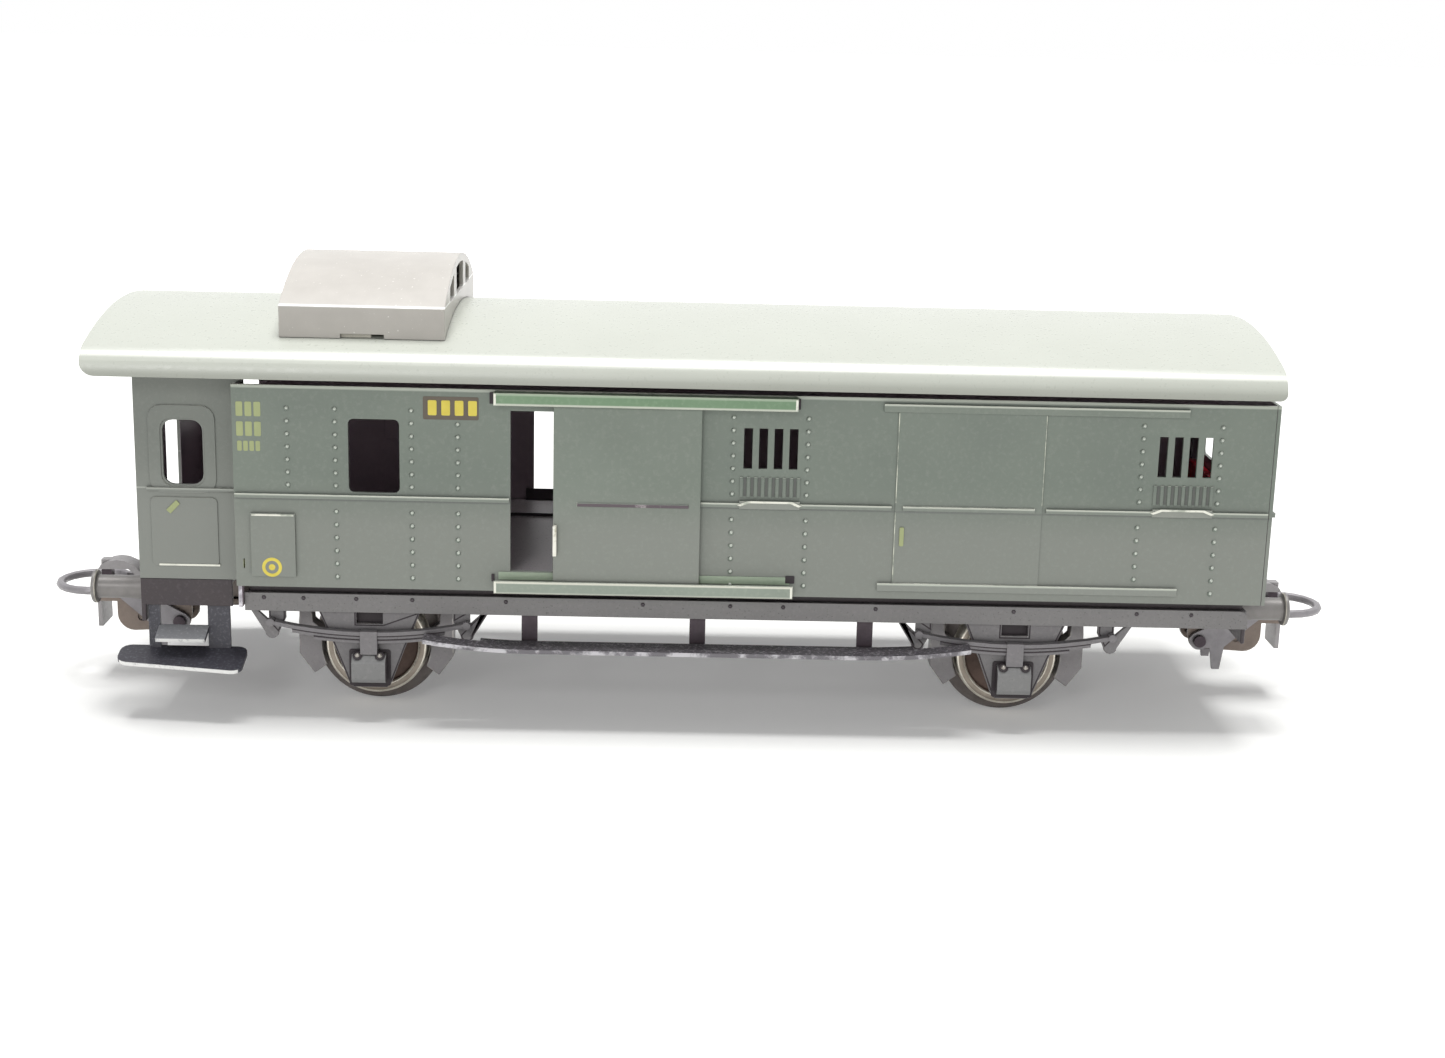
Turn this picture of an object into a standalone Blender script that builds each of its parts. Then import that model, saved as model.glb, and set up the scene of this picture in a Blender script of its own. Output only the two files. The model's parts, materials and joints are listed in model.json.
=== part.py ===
"""Tinplate model baggage coach for 16.5 mm gauge: two axles, sliding doors, guard's porch at one end.

+Z up, +X along the coach. The porch end is at -X, and the near side of the photograph is at -Y.
Z = 0 is the lowest point of the wheel flanges. Sizes are in millimetres while a piece is shaped, because
outlines this small fill and join badly in metres; finished() scales each piece to metres.
"""

import math

import bmesh
import bpy
from mathutils import Matrix, Vector

METRES_PER_MM = 0.001
MERGE_WITHIN = 0.0002

# Sheet and fits
SHEET = 0.35
FRAME_SHEET = 0.4
SEAT = 0.04
RUNNING = 0.05
BITE = 0.1

# Whole coach: how far the buffers stand out from the porch and from the right end
BUFFER_REACH_LEFT = 5.3
BUFFER_REACH_RIGHT = 3.7

# Body sides
SIDE_LENGTH = 96.5
SIDE_BOTTOM = 13.35
SIDE_HEIGHT = 19.1
BODY_WIDTH = 31.2
BELT_HEIGHT = 8.75
BELT_TALL = 0.42
BELT_RISE = 0.3
PRESSING_RISE = 0.12
CORNER_TAB_LENGTH = 2.2
CORNER_TAB_WIDTH = 1.5
TOP_FOLD_FROM_END = 2.9
TOP_FOLD_LENGTH = 88.0
TOP_FOLD_DEPTH = 3.0
FLOOR_TAB_WIDTH = 3.0
FLOOR_TAB_REACH = 1.1
FLOOR_TAB_FRACTIONS = (0.1, 0.52, 0.9)

# Openings in a side, along X from the side's left end and up from its bottom edge
WINDOW_FROM_END = 10.6
WINDOW_WIDTH = 4.7
WINDOW_SILL = 9.2
WINDOW_HEIGHT = 6.9
WINDOW_CORNER = 0.5
DOORWAY_FROM_END = 25.5
DOORWAY_WIDTH = 11.4
DOORWAY_SILL = 1.95
DOORWAY_HEIGHT = 15.2
GRILLE_FROM_END = (49.5, 87.95)
GRILLE_SLOTS = 4
SLOT_PITCH = 1.4
SLOT_WIDTH = 0.8
SLOT_SILL = 12.2
SLOT_HEIGHT = 3.8
GRILLE_PAD_WIDTH = 5.6
LOUVRE_COUNT = 9
LOUVRE_SILL = 9.5
LOUVRE_HEIGHT = 1.9
LOUVRE_WIDTH = 0.3

# Pressings on a side
CABINET_FROM_END = 1.5
CABINET_WIDTH = 4.1
CABINET_SILL = 1.05
CABINET_HEIGHT = 6.0
FIXED_DOOR_FROM_END = 61.2
FIXED_DOOR_WIDTH = 13.7
FIXED_DOOR_SILL = 1.45
FIXED_DOOR_HEIGHT = 16.5
FIXED_DOOR_BELT_GAP = 0.7
FALSE_RAIL_FROM_END = 59.8
FALSE_RAIL_LENGTH = 28.2
FALSE_RAIL_TALL = 0.75
FALSE_RAIL_RISE = 0.3

# Sliding doors and their rails
DOOR_WIDTH = 13.6
DOOR_SHEET = 0.35
DOOR_OPEN_BY = 5.1
DOOR_LAP = 1.1
DOOR_PLAY = 0.12
RAIL_LENGTH = 27.8
RAIL_START = 1.45
RAIL_LIP = 1.15
RAIL_SHEET = 0.35
HANDLE_REACH = 0.55
HANDLE_HEIGHT = 2.9
HANDLE_SILL = 3.2
DOOR_BEAD_TALL = 0.35
DOOR_BEAD_RISE = 0.12

# Porch
PORCH_LENGTH = 9.5
PORCH_WIDTH = 27.0
PORCH_DOOR_WIDTH = 6.2
PORCH_DOOR_FROM_END = 1.3
PORCH_DOOR_SILL = 1.25
PORCH_DOOR_HEIGHT = 15.4
PORCH_DOOR_CORNER = 1.3
PORCH_WINDOW_FROM_END = 2.6
PORCH_WINDOW_WIDTH = 3.7
PORCH_WINDOW_HEIGHT = 6.1
PORCH_WINDOW_SILL = 9.15
GANGWAY_WIDTH = 6.0
GANGWAY_HEIGHT = 15.2

# Right end wall
END_WINDOWS = ((-11.1, -6.8), (-4.8, 4.8), (6.8, 11.1))
END_WINDOW_HEIGHT = 5.9
GABLE_WIDTH = 24.0
LAMP_OFFSET = 12.1
LAMP_HEIGHT = 7.1
LAMP_RADIUS = 0.8
LAMP_BAR_TALL = 2.0
LAMP_BAR_THICK = 0.9

# Roof and cupola
ROOF_WIDTH = 34.8
ROOF_GAP = 0.75
ROOF_OVERHANG_LEFT = 3.8
ROOF_OVERHANG_RIGHT = 0.0
ROOF_CROWN_RADIUS = 51.0
ROOF_EDGE_RADIUS = 2.8
ROOF_CORNER_LEFT = 1.4
ROOF_CORNER_RIGHT = 0.7
CUPOLA_LENGTH = 15.2
CUPOLA_FROM_END = 17.4
CUPOLA_WIDTH = 26.8
CUPOLA_WALL = 2.95
CUPOLA_RISE = 3.5
CUPOLA_SHEET = 0.4
CUPOLA_WINDOW_SILL = 0.35
CUPOLA_WINDOWS = ((-8.6, -5.2), (-3.0, 3.0), (5.2, 8.6))
CUPOLA_NOTCH_WIDTH = 4.0
CUPOLA_NOTCH_HEIGHT = 0.45

# Floor tray and underframe
FLOOR_UNDER_SILL = 0.3
TRAY_INSET = 1.7
SOLEBAR_DEPTH = 1.75
SOLEBAR_GAP = 0.9
UNDERFRAME_WIDTH = 29.2
UNDERFRAME_INSET_LEFT = 0.5
UNDERFRAME_INSET_RIGHT = 1.2
SOLEBAR_CORNER = 0.8
WHEEL_SLOT_LENGTH = 7.6
WHEEL_SLOT_MARGIN = 0.4

# Headstocks and buffers
CHEEK_DEPTH = 2.6
CHEEK_END_GAP = 0.9
HEADSTOCK_DEPTH = 4.2
HEADSTOCK_WIDTH = 26.8
BUFFER_SPACING = 20.4
BUFFER_HEIGHT = 11.55
BUFFER_HEAD_RADIUS = 1.6
BUFFER_HEAD_THICK = 0.75
BUFFER_SHANK_RADIUS = 1.1
BUFFER_ROOT_RADIUS = 1.3

# Wheels
WHEELBASE = 61.2
TREAD_RADIUS = 4.95
FLANGE_HEIGHT = 1.2
WHEEL_WIDTH = 2.9
FLANGE_WIDTH = 0.8
BACK_TO_BACK = 14.0
TYRE_THICK = 0.9
WEB_RECESS = 0.55
HUB_RADIUS = 1.5
AXLE_RADIUS = 0.75
JOURNAL_RADIUS = 0.45

# Axle guards, springs and boxes
GUARD_SHEET = 0.5
GUARD_TOP_WIDTH = 9.6
GUARD_MIDDLE_WIDTH = 7.6
GUARD_MIDDLE_HEIGHT = 7.2
GUARD_FOOT_WIDTH = 4.6
GUARD_FOOT_HEIGHT = 3.2
GUARD_SLOT_WIDTH = 2.5
GUARD_SLOT_HEIGHT = 1.5
SPRING_SPAN = 18.4
SPRING_DROP = 1.0
SPRING_TOP = 9.85
SPRING_LEAF = 0.4
SPRING_LEAVES = 3
SPRING_WIDTH = 0.8
BUCKLE_WIDTH = 1.6
SHACKLE_DROP = 2.0
SHACKLE_WIDTH = 1.3
STRUT_REACH = 2.0
STRUT_THICK = 0.55
AXLE_BOX_WIDTH = 3.3
AXLE_BOX_HEIGHT = 2.7
AXLE_BOX_DEPTH = 1.3
AXLE_BOX_LIFT = -0.85

# Brake shoes
SHOE_GAP = 0.3
SHOE_THICK = 2.2
SHOE_WIDTH = 1.8
SHOE_ANGLES = (-24.0, 14.0)
HANGER_WIDTH = 0.9

# Step boards
BOARD_LENGTH = 51.4
BOARD_CENTRE = 0.4
BOARD_DEPTH = 3.0
BOARD_THICK = 0.4
BOARD_TOP = 8.15
BOARD_END_RISE = 0.8
BOARD_END_LENGTH = 10.0
BOARD_OUTREACH = 2.7
BOARD_END_CUT = 5.2
ARM_WIDTH = 1.5
ARM_SPACING = 15.9
PORCH_STEP_LENGTH = 12.0
PORCH_STEP_DEPTH = 4.4
PORCH_STEP_TAPER = 1.4
PORCH_STEP_TILT = 15.0
PORCH_STEP_DROP = 6.55
UPPER_TREAD_LENGTH = 4.7
UPPER_TREAD_DEPTH = 2.3
UPPER_TREAD_TILT = 20.0
UPPER_TREAD_DROP = 4.4
LEG_WIDTHS = (1.0, 2.0)

# Couplers
COUPLER_PIVOT_BACK = 11.5
COUPLER_NOSE_OUT = 2.1
COUPLER_WIDTH = 4.0
COUPLER_TOP = 8.1
CHEEK_PLATE_BACK = 7.3
CHEEK_PLATE_OUT = 0.1
CHEEK_PLATE_DEPTH = 3.4
NOSE_DEPTH = 3.1
HOOK_STEM_OUT = 1.4
HOOK_HEIGHT = 3.6
HOOK_LENGTH = 4.3
HOOK_WIDTH = 2.2
HOOK_THICK = 0.5
HOOK_OUTLINE = ((0.0, 4.0), (0.03, 2.4), (0.17, 1.0), (0.38, 0.2), (0.56, 0.0), (0.74, 0.25), (0.94, 1.1),
                (1.0, 1.95), (0.3, 1.85), (0.18, 2.7), (0.14, 4.0))
LOOP_PIVOT_BACK = 6.2
LOOP_PIVOT_HEIGHT = 5.85
LOOP_HEIGHT = 9.15
LOOP_TIP_OUT = 6.5
LOOP_WIDTH = 7.8
LOOP_WIRE = 0.42
LEVER_SHEET = 0.4
LEVER_WIDTH = 1.2
LEVER_EYE = 0.95
LEVER_PIN = 0.45
TONGUE_WIDTH = 1.6
TONGUE_FOOT = 2.9
SWING_PIN = 0.6
SWING_HEAD = 1.1
SWING_SHOULDER = 1.4

# Worked out from the sizes above; X = 0 is midway between the buffer faces and between the axles
LENGTH_OVER_BUFFERS = BUFFER_REACH_LEFT + PORCH_LENGTH + SIDE_LENGTH + BUFFER_REACH_RIGHT
BUFFER_FACE = LENGTH_OVER_BUFFERS / 2
SIDE_LEFT = BUFFER_REACH_LEFT + PORCH_LENGTH - BUFFER_FACE
SIDE_RIGHT = SIDE_LEFT + SIDE_LENGTH
SIDE_TOP = SIDE_BOTTOM + SIDE_HEIGHT
BELT_Z = SIDE_BOTTOM + BELT_HEIGHT
HALF_BODY = BODY_WIDTH / 2
HALF_PORCH = PORCH_WIDTH / 2
PORCH_LEFT = SIDE_LEFT - PORCH_LENGTH
ROOF_EDGE_Z = SIDE_TOP + ROOF_GAP
ROOF_LEFT = PORCH_LEFT - ROOF_OVERHANG_LEFT
ROOF_RIGHT = SIDE_RIGHT + ROOF_OVERHANG_RIGHT
ROOF_EDGE_Y = ROOF_WIDTH / 2 - ROOF_EDGE_RADIUS
CROWN_CENTRE_Z = ROOF_EDGE_Z - math.sqrt(
    (ROOF_CROWN_RADIUS - ROOF_EDGE_RADIUS) ** 2 - ROOF_EDGE_Y**2
)
GABLE_RADIUS = ROOF_CROWN_RADIUS - SHEET - SEAT
FLOOR_TOP = SIDE_BOTTOM + DOORWAY_SILL - FLOOR_UNDER_SILL
FLOOR_BOTTOM = FLOOR_TOP - FRAME_SHEET
SOLEBAR_TOP = SIDE_BOTTOM - SOLEBAR_GAP
SOLEBAR_BOTTOM = SOLEBAR_TOP - SOLEBAR_DEPTH
WEB_TOP = SOLEBAR_TOP - BITE / 2
WEB_BOTTOM = WEB_TOP - FRAME_SHEET
UNDER_WEB = WEB_BOTTOM - SEAT
HALF_FRAME = UNDERFRAME_WIDTH / 2
TRAY_Y = HALF_BODY - TRAY_INSET
DOOR_INNER_Y = HALF_BODY + BELT_RISE + DOOR_PLAY
DOOR_OUTER_Y = DOOR_INNER_Y + DOOR_SHEET
RAIL_OUTER_Y = DOOR_OUTER_Y + DOOR_PLAY + RAIL_SHEET
AXLE_Z = FLANGE_HEIGHT + TREAD_RADIUS
GUARD_OUTER_Y = HALF_FRAME - FRAME_SHEET - SEAT
GUARD_INNER_Y = GUARD_OUTER_Y - GUARD_SHEET
SPRING_INNER_Y = GUARD_OUTER_Y + SEAT
COUPLER_PIVOT = BUFFER_FACE - COUPLER_PIVOT_BACK
COUPLER_REACH = BUFFER_FACE + COUPLER_NOSE_OUT
CHEEK_PLATE_START = BUFFER_FACE - CHEEK_PLATE_BACK
CHEEK_PLATE_END = BUFFER_FACE + CHEEK_PLATE_OUT
HOOK_STEM = BUFFER_FACE + HOOK_STEM_OUT
LOOP_PIVOT = BUFFER_FACE - LOOP_PIVOT_BACK
LOOP_TIP = BUFFER_FACE + LOOP_TIP_OUT

parts = None
helpers = None


# ---------------------------------------------------------------- scene and materials


def clear_scene():
    for obj in list(bpy.data.objects):
        bpy.data.objects.remove(obj, do_unlink=True)
    for collection in list(bpy.data.collections):
        bpy.data.collections.remove(collection)


def new_collection(name):
    collection = bpy.data.collections.new(name)
    bpy.context.scene.collection.children.link(collection)
    return collection


def paint(name, colour, roughness=0.5, metallic=0.0):
    material = bpy.data.materials.get(name)
    if material:
        return material
    material = bpy.data.materials.new(name)
    material.use_nodes = True
    shader = material.node_tree.nodes["Principled BSDF"]
    shader.inputs["Base Color"].default_value = (*colour, 1.0)
    shader.inputs["Roughness"].default_value = roughness
    shader.inputs["Metallic"].default_value = metallic
    material.diffuse_color = (*colour, 1.0)
    return material


# ---------------------------------------------------------------- modelling helpers


def arc(centre, radius, start, end, steps=8):
    """Points on an arc, angles in degrees."""
    points = []
    for i in range(steps + 1):
        angle = math.radians(start + (end - start) * i / steps)
        points.append((centre[0] + radius * math.cos(angle), centre[1] + radius * math.sin(angle)))
    return points


def rectangle(x0, y0, x1, y1):
    return [(x0, y0), (x1, y0), (x1, y1), (x0, y1)]


def rounded(x0, y0, x1, y1, radius, steps=4):
    """A rectangle with round corners."""
    points = arc((x0 + radius, y0 + radius), radius, 180, 270, steps)
    points += arc((x1 - radius, y0 + radius), radius, 270, 360, steps)
    points += arc((x1 - radius, y1 - radius), radius, 0, 90, steps)
    points += arc((x0 + radius, y1 - radius), radius, 90, 180, steps)
    return points


def circle(centre, radius, steps=16):
    return arc(centre, radius, 0, 360 * (steps - 1) / steps, steps - 1)


def realised(obj):
    """The object's evaluated shape as a plain mesh object, welded, with its faces pointing out."""
    bpy.context.view_layer.update()
    graph = bpy.context.evaluated_depsgraph_get()
    mesh = bpy.data.meshes.new_from_object(obj.evaluated_get(graph))
    name, matrix = obj.name, obj.matrix_world.copy()
    bpy.data.objects.remove(obj, do_unlink=True)
    mesh.name = name
    result = bpy.data.objects.new(name, mesh)
    result.matrix_world = matrix
    helpers.objects.link(result)
    tidy(result)
    return result


def tidy(obj):
    bm = bmesh.new()
    bm.from_mesh(obj.data)
    bmesh.ops.remove_doubles(bm, verts=bm.verts, dist=MERGE_WITHIN)
    bmesh.ops.recalc_face_normals(bm, faces=bm.faces)
    bm.to_mesh(obj.data)
    bm.free()


def box(low, high, bevel=0.0):
    """A block between two corners, with an optional small bevel."""
    mesh = bpy.data.meshes.new("block")
    bm = bmesh.new()
    bmesh.ops.create_cube(bm, size=1.0)
    size = [abs(b - a) for a, b in zip(low, high)]
    middle = [(a + b) / 2 for a, b in zip(low, high)]
    bmesh.ops.scale(bm, vec=size, verts=bm.verts)
    bmesh.ops.translate(bm, vec=middle, verts=bm.verts)
    if bevel:
        bmesh.ops.bevel(bm, geom=bm.edges[:], offset=bevel, segments=1, affect="EDGES")
    bm.to_mesh(mesh)
    bm.free()
    obj = bpy.data.objects.new("block", mesh)
    helpers.objects.link(obj)
    return obj


def plate(outline, thickness, holes=(), plane="XZ", at=0.0):
    """A flat outline with holes, given a thickness about its middle. plane is XZ, YZ or XY."""
    curve = bpy.data.curves.new("outline", "CURVE")
    curve.dimensions = "2D"
    curve.fill_mode = "BOTH"
    curve.extrude = thickness / 2
    for points in (outline, *holes):
        spline = curve.splines.new("POLY")
        spline.points.add(len(points) - 1)
        for point, (x, y) in zip(spline.points, points):
            point.co = (x, y, 0, 1)
        spline.use_cyclic_u = True
    obj = bpy.data.objects.new("plate", curve)
    helpers.objects.link(obj)
    turns = {
        "XZ": Matrix(((1, 0, 0, 0), (0, 0, -1, at), (0, 1, 0, 0), (0, 0, 0, 1))),
        "YZ": Matrix(((0, 0, 1, at), (1, 0, 0, 0), (0, 1, 0, 0), (0, 0, 0, 1))),
        "XY": Matrix.Translation((0, 0, at)),
    }
    obj = realised(obj)
    obj.data.transform(turns[plane])
    tidy(obj)
    return obj


def turned(profile, steps=24, axis="Z"):
    """A profile of (radius, height) points turned round the axis and closed."""
    mesh = bpy.data.meshes.new("turning")
    points = [(r, 0.0, h) for r, h in sorted_profile(profile)]
    mesh.from_pydata(points, [(i, i + 1) for i in range(len(points) - 1)], [])
    obj = bpy.data.objects.new("turning", mesh)
    helpers.objects.link(obj)
    screw = obj.modifiers.new("turn", "SCREW")
    screw.steps = steps
    screw.render_steps = steps
    screw.use_merge_vertices = True
    screw.merge_threshold = MERGE_WITHIN / 2
    obj = realised(obj)
    if axis == "X":
        obj.data.transform(Matrix.Rotation(math.radians(90), 4, "Y"))
    elif axis == "Y":
        obj.data.transform(Matrix.Rotation(math.radians(-90), 4, "X"))
    tidy(obj)
    return obj


def sorted_profile(profile):
    """Top to bottom, starting and ending on the axis."""
    points = list(profile)
    if points[0][1] < points[-1][1]:
        points.reverse()
    if points[0][0] > 0:
        points.insert(0, (0.0, points[0][1]))
    if points[-1][0] > 0:
        points.append((0.0, points[-1][1]))
    return points


def rod(start, end, radius, steps=16):
    """A straight round bar between two points."""
    start, end = Vector(start), Vector(end)
    mesh = bpy.data.meshes.new("rod")
    bm = bmesh.new()
    length = (end - start).length
    bmesh.ops.create_cone(
        bm, cap_ends=True, segments=steps, radius1=radius, radius2=radius, depth=length
    )
    turn = (end - start).to_track_quat("Z", "Y").to_matrix().to_4x4()
    bmesh.ops.transform(bm, matrix=Matrix.Translation((start + end) / 2) @ turn, verts=bm.verts)
    bm.to_mesh(mesh)
    bm.free()
    obj = bpy.data.objects.new("rod", mesh)
    helpers.objects.link(obj)
    return obj


def wire(points, radius, resolution=2):
    """A round wire along the points, with filled ends."""
    curve = bpy.data.curves.new("wire", "CURVE")
    curve.dimensions = "3D"
    curve.bevel_depth = radius
    curve.bevel_resolution = resolution
    curve.use_fill_caps = True
    spline = curve.splines.new("POLY")
    spline.points.add(len(points) - 1)
    for point, place in zip(spline.points, points):
        point.co = (*place, 1)
    obj = bpy.data.objects.new("wire", curve)
    helpers.objects.link(obj)
    return realised(obj)


def combined(base, others, operation="UNION"):
    """The base with the other solids joined to it or cut from it."""
    for other in others:
        modifier = base.modifiers.new(operation.lower(), "BOOLEAN")
        modifier.operation = operation
        modifier.solver = "EXACT"
        modifier.object = other
    result = realised(base)
    for other in others:
        bpy.data.objects.remove(other, do_unlink=True)
    return result


def moved(obj, offset):
    obj.data.transform(Matrix.Translation(offset))
    return obj


def mirrored(obj, axis):
    """The object reflected across the plane through the origin that the axis is square to."""
    scale = [-1 if letter == axis else 1 for letter in "XYZ"]
    obj.data.transform(Matrix.Diagonal((*scale, 1)))
    obj.data.flip_normals()
    return obj


def copied(obj):
    twin = bpy.data.objects.new(obj.name, obj.data.copy())
    twin.matrix_world = obj.matrix_world
    helpers.objects.link(twin)
    return twin


def finished(obj, name, material, origin=(0, 0, 0)):
    """Names a piece, puts its origin where it turns or stands, and gives it its material."""
    obj.name = name
    obj.data.name = name
    obj.data.transform(Matrix.Scale(METRES_PER_MM, 4) @ Matrix.Translation(-Vector(origin)))
    obj.location = Vector(origin) * METRES_PER_MM
    obj.data.materials.clear()
    obj.data.materials.append(material)
    obj.data.shade_smooth()
    obj.data.set_sharp_from_angle(angle=math.radians(30))
    for collection in list(obj.users_collection):
        collection.objects.unlink(obj)
    parts.objects.link(obj)
    return obj


# ---------------------------------------------------------------- body


def roof_underside(y, clearance=0.0):
    """Height of the roof's inner face at y."""
    radius = ROOF_CROWN_RADIUS - SHEET - clearance
    return CROWN_CENTRE_Z + math.sqrt(radius**2 - y**2)


def gable_arc(half_width, steps=12):
    """Points of a gable's top, from +Y to -Y, seated just under the roof."""
    reach = math.degrees(math.asin(half_width / GABLE_RADIUS))
    return arc((0, CROWN_CENTRE_Z), GABLE_RADIUS, 90 - reach, 90 + reach, steps)


def pressing(x0, z0, x1, z1, rise, side, face_y, bevel=0.0):
    """A raised area on a vertical face, sunk a little into it so that the two join."""
    y0, y1 = side * (face_y - BITE), side * (face_y + rise)
    return box((x0, min(y0, y1), z0), (x1, max(y0, y1), z1), bevel)


def side_boxes(side):
    """The raised pressings, rails and folded tabs of one body side."""
    pieces = []
    x, z = SIDE_LEFT, SIDE_BOTTOM
    doorway_left = x + DOORWAY_FROM_END
    doorway_right = doorway_left + DOORWAY_WIDTH
    right_edge = SIDE_RIGHT - SHEET - SEAT
    door_left = x + FIXED_DOOR_FROM_END
    door_right = door_left + FIXED_DOOR_WIDTH
    gap = FIXED_DOOR_BELT_GAP
    for start, end in ((x + BITE, doorway_left - BITE), (doorway_right + BITE, door_left - gap / 2),
                       (door_left + gap, door_right - gap), (door_right + gap / 2, right_edge - BITE)):
        pieces.append(pressing(start, BELT_Z - BELT_TALL / 2, end, BELT_Z + BELT_TALL / 2,
                               BELT_RISE, side, HALF_BODY))
    pieces.append(pressing(x + CABINET_FROM_END, z + CABINET_SILL, x + CABINET_FROM_END + CABINET_WIDTH,
                           z + CABINET_SILL + CABINET_HEIGHT, BELT_RISE, side, HALF_BODY))
    pieces.append(pressing(door_left, z + FIXED_DOOR_SILL, door_right,
                           z + FIXED_DOOR_SILL + FIXED_DOOR_HEIGHT, PRESSING_RISE, side, HALF_BODY))
    false_rail_left = x + FALSE_RAIL_FROM_END
    top = z + FIXED_DOOR_SILL + FIXED_DOOR_HEIGHT
    for low in (z + FIXED_DOOR_SILL - FALSE_RAIL_TALL + BITE, top - BITE):
        pieces.append(pressing(false_rail_left, low, false_rail_left + FALSE_RAIL_LENGTH,
                               low + FALSE_RAIL_TALL, FALSE_RAIL_RISE, side, HALF_BODY))
    for centre in GRILLE_FROM_END:
        left = x + centre - GRILLE_PAD_WIDTH / 2
        pieces.append(pressing(left, BELT_Z - BELT_TALL / 2 - BITE, left + GRILLE_PAD_WIDTH,
                               BELT_Z + BELT_TALL, BELT_RISE + BITE / 2, side, HALF_BODY))
        pitch = (GRILLE_PAD_WIDTH - LOUVRE_WIDTH) / (LOUVRE_COUNT - 1)
        for i in range(LOUVRE_COUNT):
            start = left + i * pitch
            pieces.append(pressing(start, z + LOUVRE_SILL, start + LOUVRE_WIDTH,
                                   z + LOUVRE_SILL + LOUVRE_HEIGHT, PRESSING_RISE, side, HALF_BODY))
    return pieces


def rails(side):
    """The two door rails, folded out of the side: the door's edges run behind their lips."""
    left = SIDE_LEFT + DOORWAY_FROM_END - RAIL_START
    inner, outer = HALF_BODY - BITE, RAIL_OUTER_Y
    low, high = door_bottom() - DOOR_PLAY - RAIL_SHEET, door_top() + DOOR_PLAY + RAIL_SHEET
    pieces = []
    for start, up in ((low, 1), (high, -1)):
        web, lip = start + up * RAIL_SHEET, start + up * RAIL_LIP
        outline = [(inner, start), (outer, start), (outer, lip), (outer - RAIL_SHEET, lip),
                   (outer - RAIL_SHEET, web), (inner, web)]
        outline = [(side * y, z) for y, z in outline]
        pieces.append(plate(outline, RAIL_LENGTH, (), "YZ", left + RAIL_LENGTH / 2))
    return pieces


def door_bottom():
    return SIDE_BOTTOM + RAIL_SHEET + DOOR_PLAY + BITE


def door_top():
    return SIDE_TOP - RAIL_SHEET - DOOR_PLAY - BITE


def grille_slots(centre, side):
    """Cutters for the upright slots of one barred window."""
    slots = []
    left = SIDE_LEFT + centre - SLOT_PITCH * (GRILLE_SLOTS - 1) / 2 - SLOT_WIDTH / 2
    ys = sorted((side * (HALF_BODY - 2 * SHEET), side * (HALF_BODY + SHEET)))
    for i in range(GRILLE_SLOTS):
        x = left + i * SLOT_PITCH
        z = SIDE_BOTTOM + SLOT_SILL
        slots.append(box((x, ys[0], z), (x + SLOT_WIDTH, ys[1], z + SLOT_HEIGHT)))
    return slots


def make_side(side, name, material):
    """One body side: a stamped sheet with window, doorway and barred slots, and all that is pressed in it."""
    x, z = SIDE_LEFT, SIDE_BOTTOM
    outline = rectangle(x, z, SIDE_RIGHT - SHEET - SEAT, SIDE_TOP)
    window = rounded(x + WINDOW_FROM_END, z + WINDOW_SILL, x + WINDOW_FROM_END + WINDOW_WIDTH,
                     z + WINDOW_SILL + WINDOW_HEIGHT, WINDOW_CORNER)
    doorway = rectangle(x + DOORWAY_FROM_END, z + DOORWAY_SILL, x + DOORWAY_FROM_END + DOORWAY_WIDTH,
                        z + DOORWAY_SILL + DOORWAY_HEIGHT)
    wall = plate(outline, SHEET, [window, doorway], "XZ", side * (HALF_BODY - SHEET / 2))
    pieces = side_boxes(side) + rails(side)
    # The left edge is folded in to the porch, with one bare tab left hanging below it.
    inner, outer = HALF_PORCH + SEAT, HALF_BODY - BITE
    tab_inner, tab_outer = HALF_BODY - CORNER_TAB_WIDTH, HALF_BODY - SHEET - BITE
    low, high = z + BITE, SIDE_TOP - BITE
    fold = [(inner, low + BITE), (tab_inner, low), (tab_inner, z - CORNER_TAB_LENGTH),
            (tab_outer, z - CORNER_TAB_LENGTH), (tab_outer, low + BITE / 2), (outer, low + 2 * BITE),
            (outer, high), (inner, high - BITE)]
    fold = [(side * y, height) for y, height in fold]
    pieces.append(plate(fold, SHEET, (), "YZ", x + BITE / 2 + SHEET / 2))
    # The top edge is folded in over most of the length.
    fold_left = x + TOP_FOLD_FROM_END
    ys = sorted((side * (HALF_BODY - TOP_FOLD_DEPTH), side * (HALF_BODY - BITE)))
    pieces.append(box((fold_left, ys[0], SIDE_TOP - BITE / 2 - SHEET),
                      (fold_left + TOP_FOLD_LENGTH, ys[1], SIDE_TOP - BITE / 2)))
    # Tabs folded in under the floor hold the side down.
    for fraction in FLOOR_TAB_FRACTIONS:
        middle = x + SIDE_LENGTH * fraction
        ys = sorted((side * (HALF_BODY - FLOOR_TAB_REACH), side * (HALF_BODY - BITE)))
        top = FLOOR_BOTTOM - SEAT
        pieces.append(box((middle - FLOOR_TAB_WIDTH / 2, ys[0], top - SHEET),
                          (middle + FLOOR_TAB_WIDTH / 2, ys[1], top)))
    slots = [slot for centre in GRILLE_FROM_END for slot in grille_slots(centre, side)]
    wall = combined(combined(wall, pieces), slots, "DIFFERENCE")
    return finished(wall, name, material, (SIDE_LEFT, side * HALF_BODY, SIDE_BOTTOM))


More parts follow.
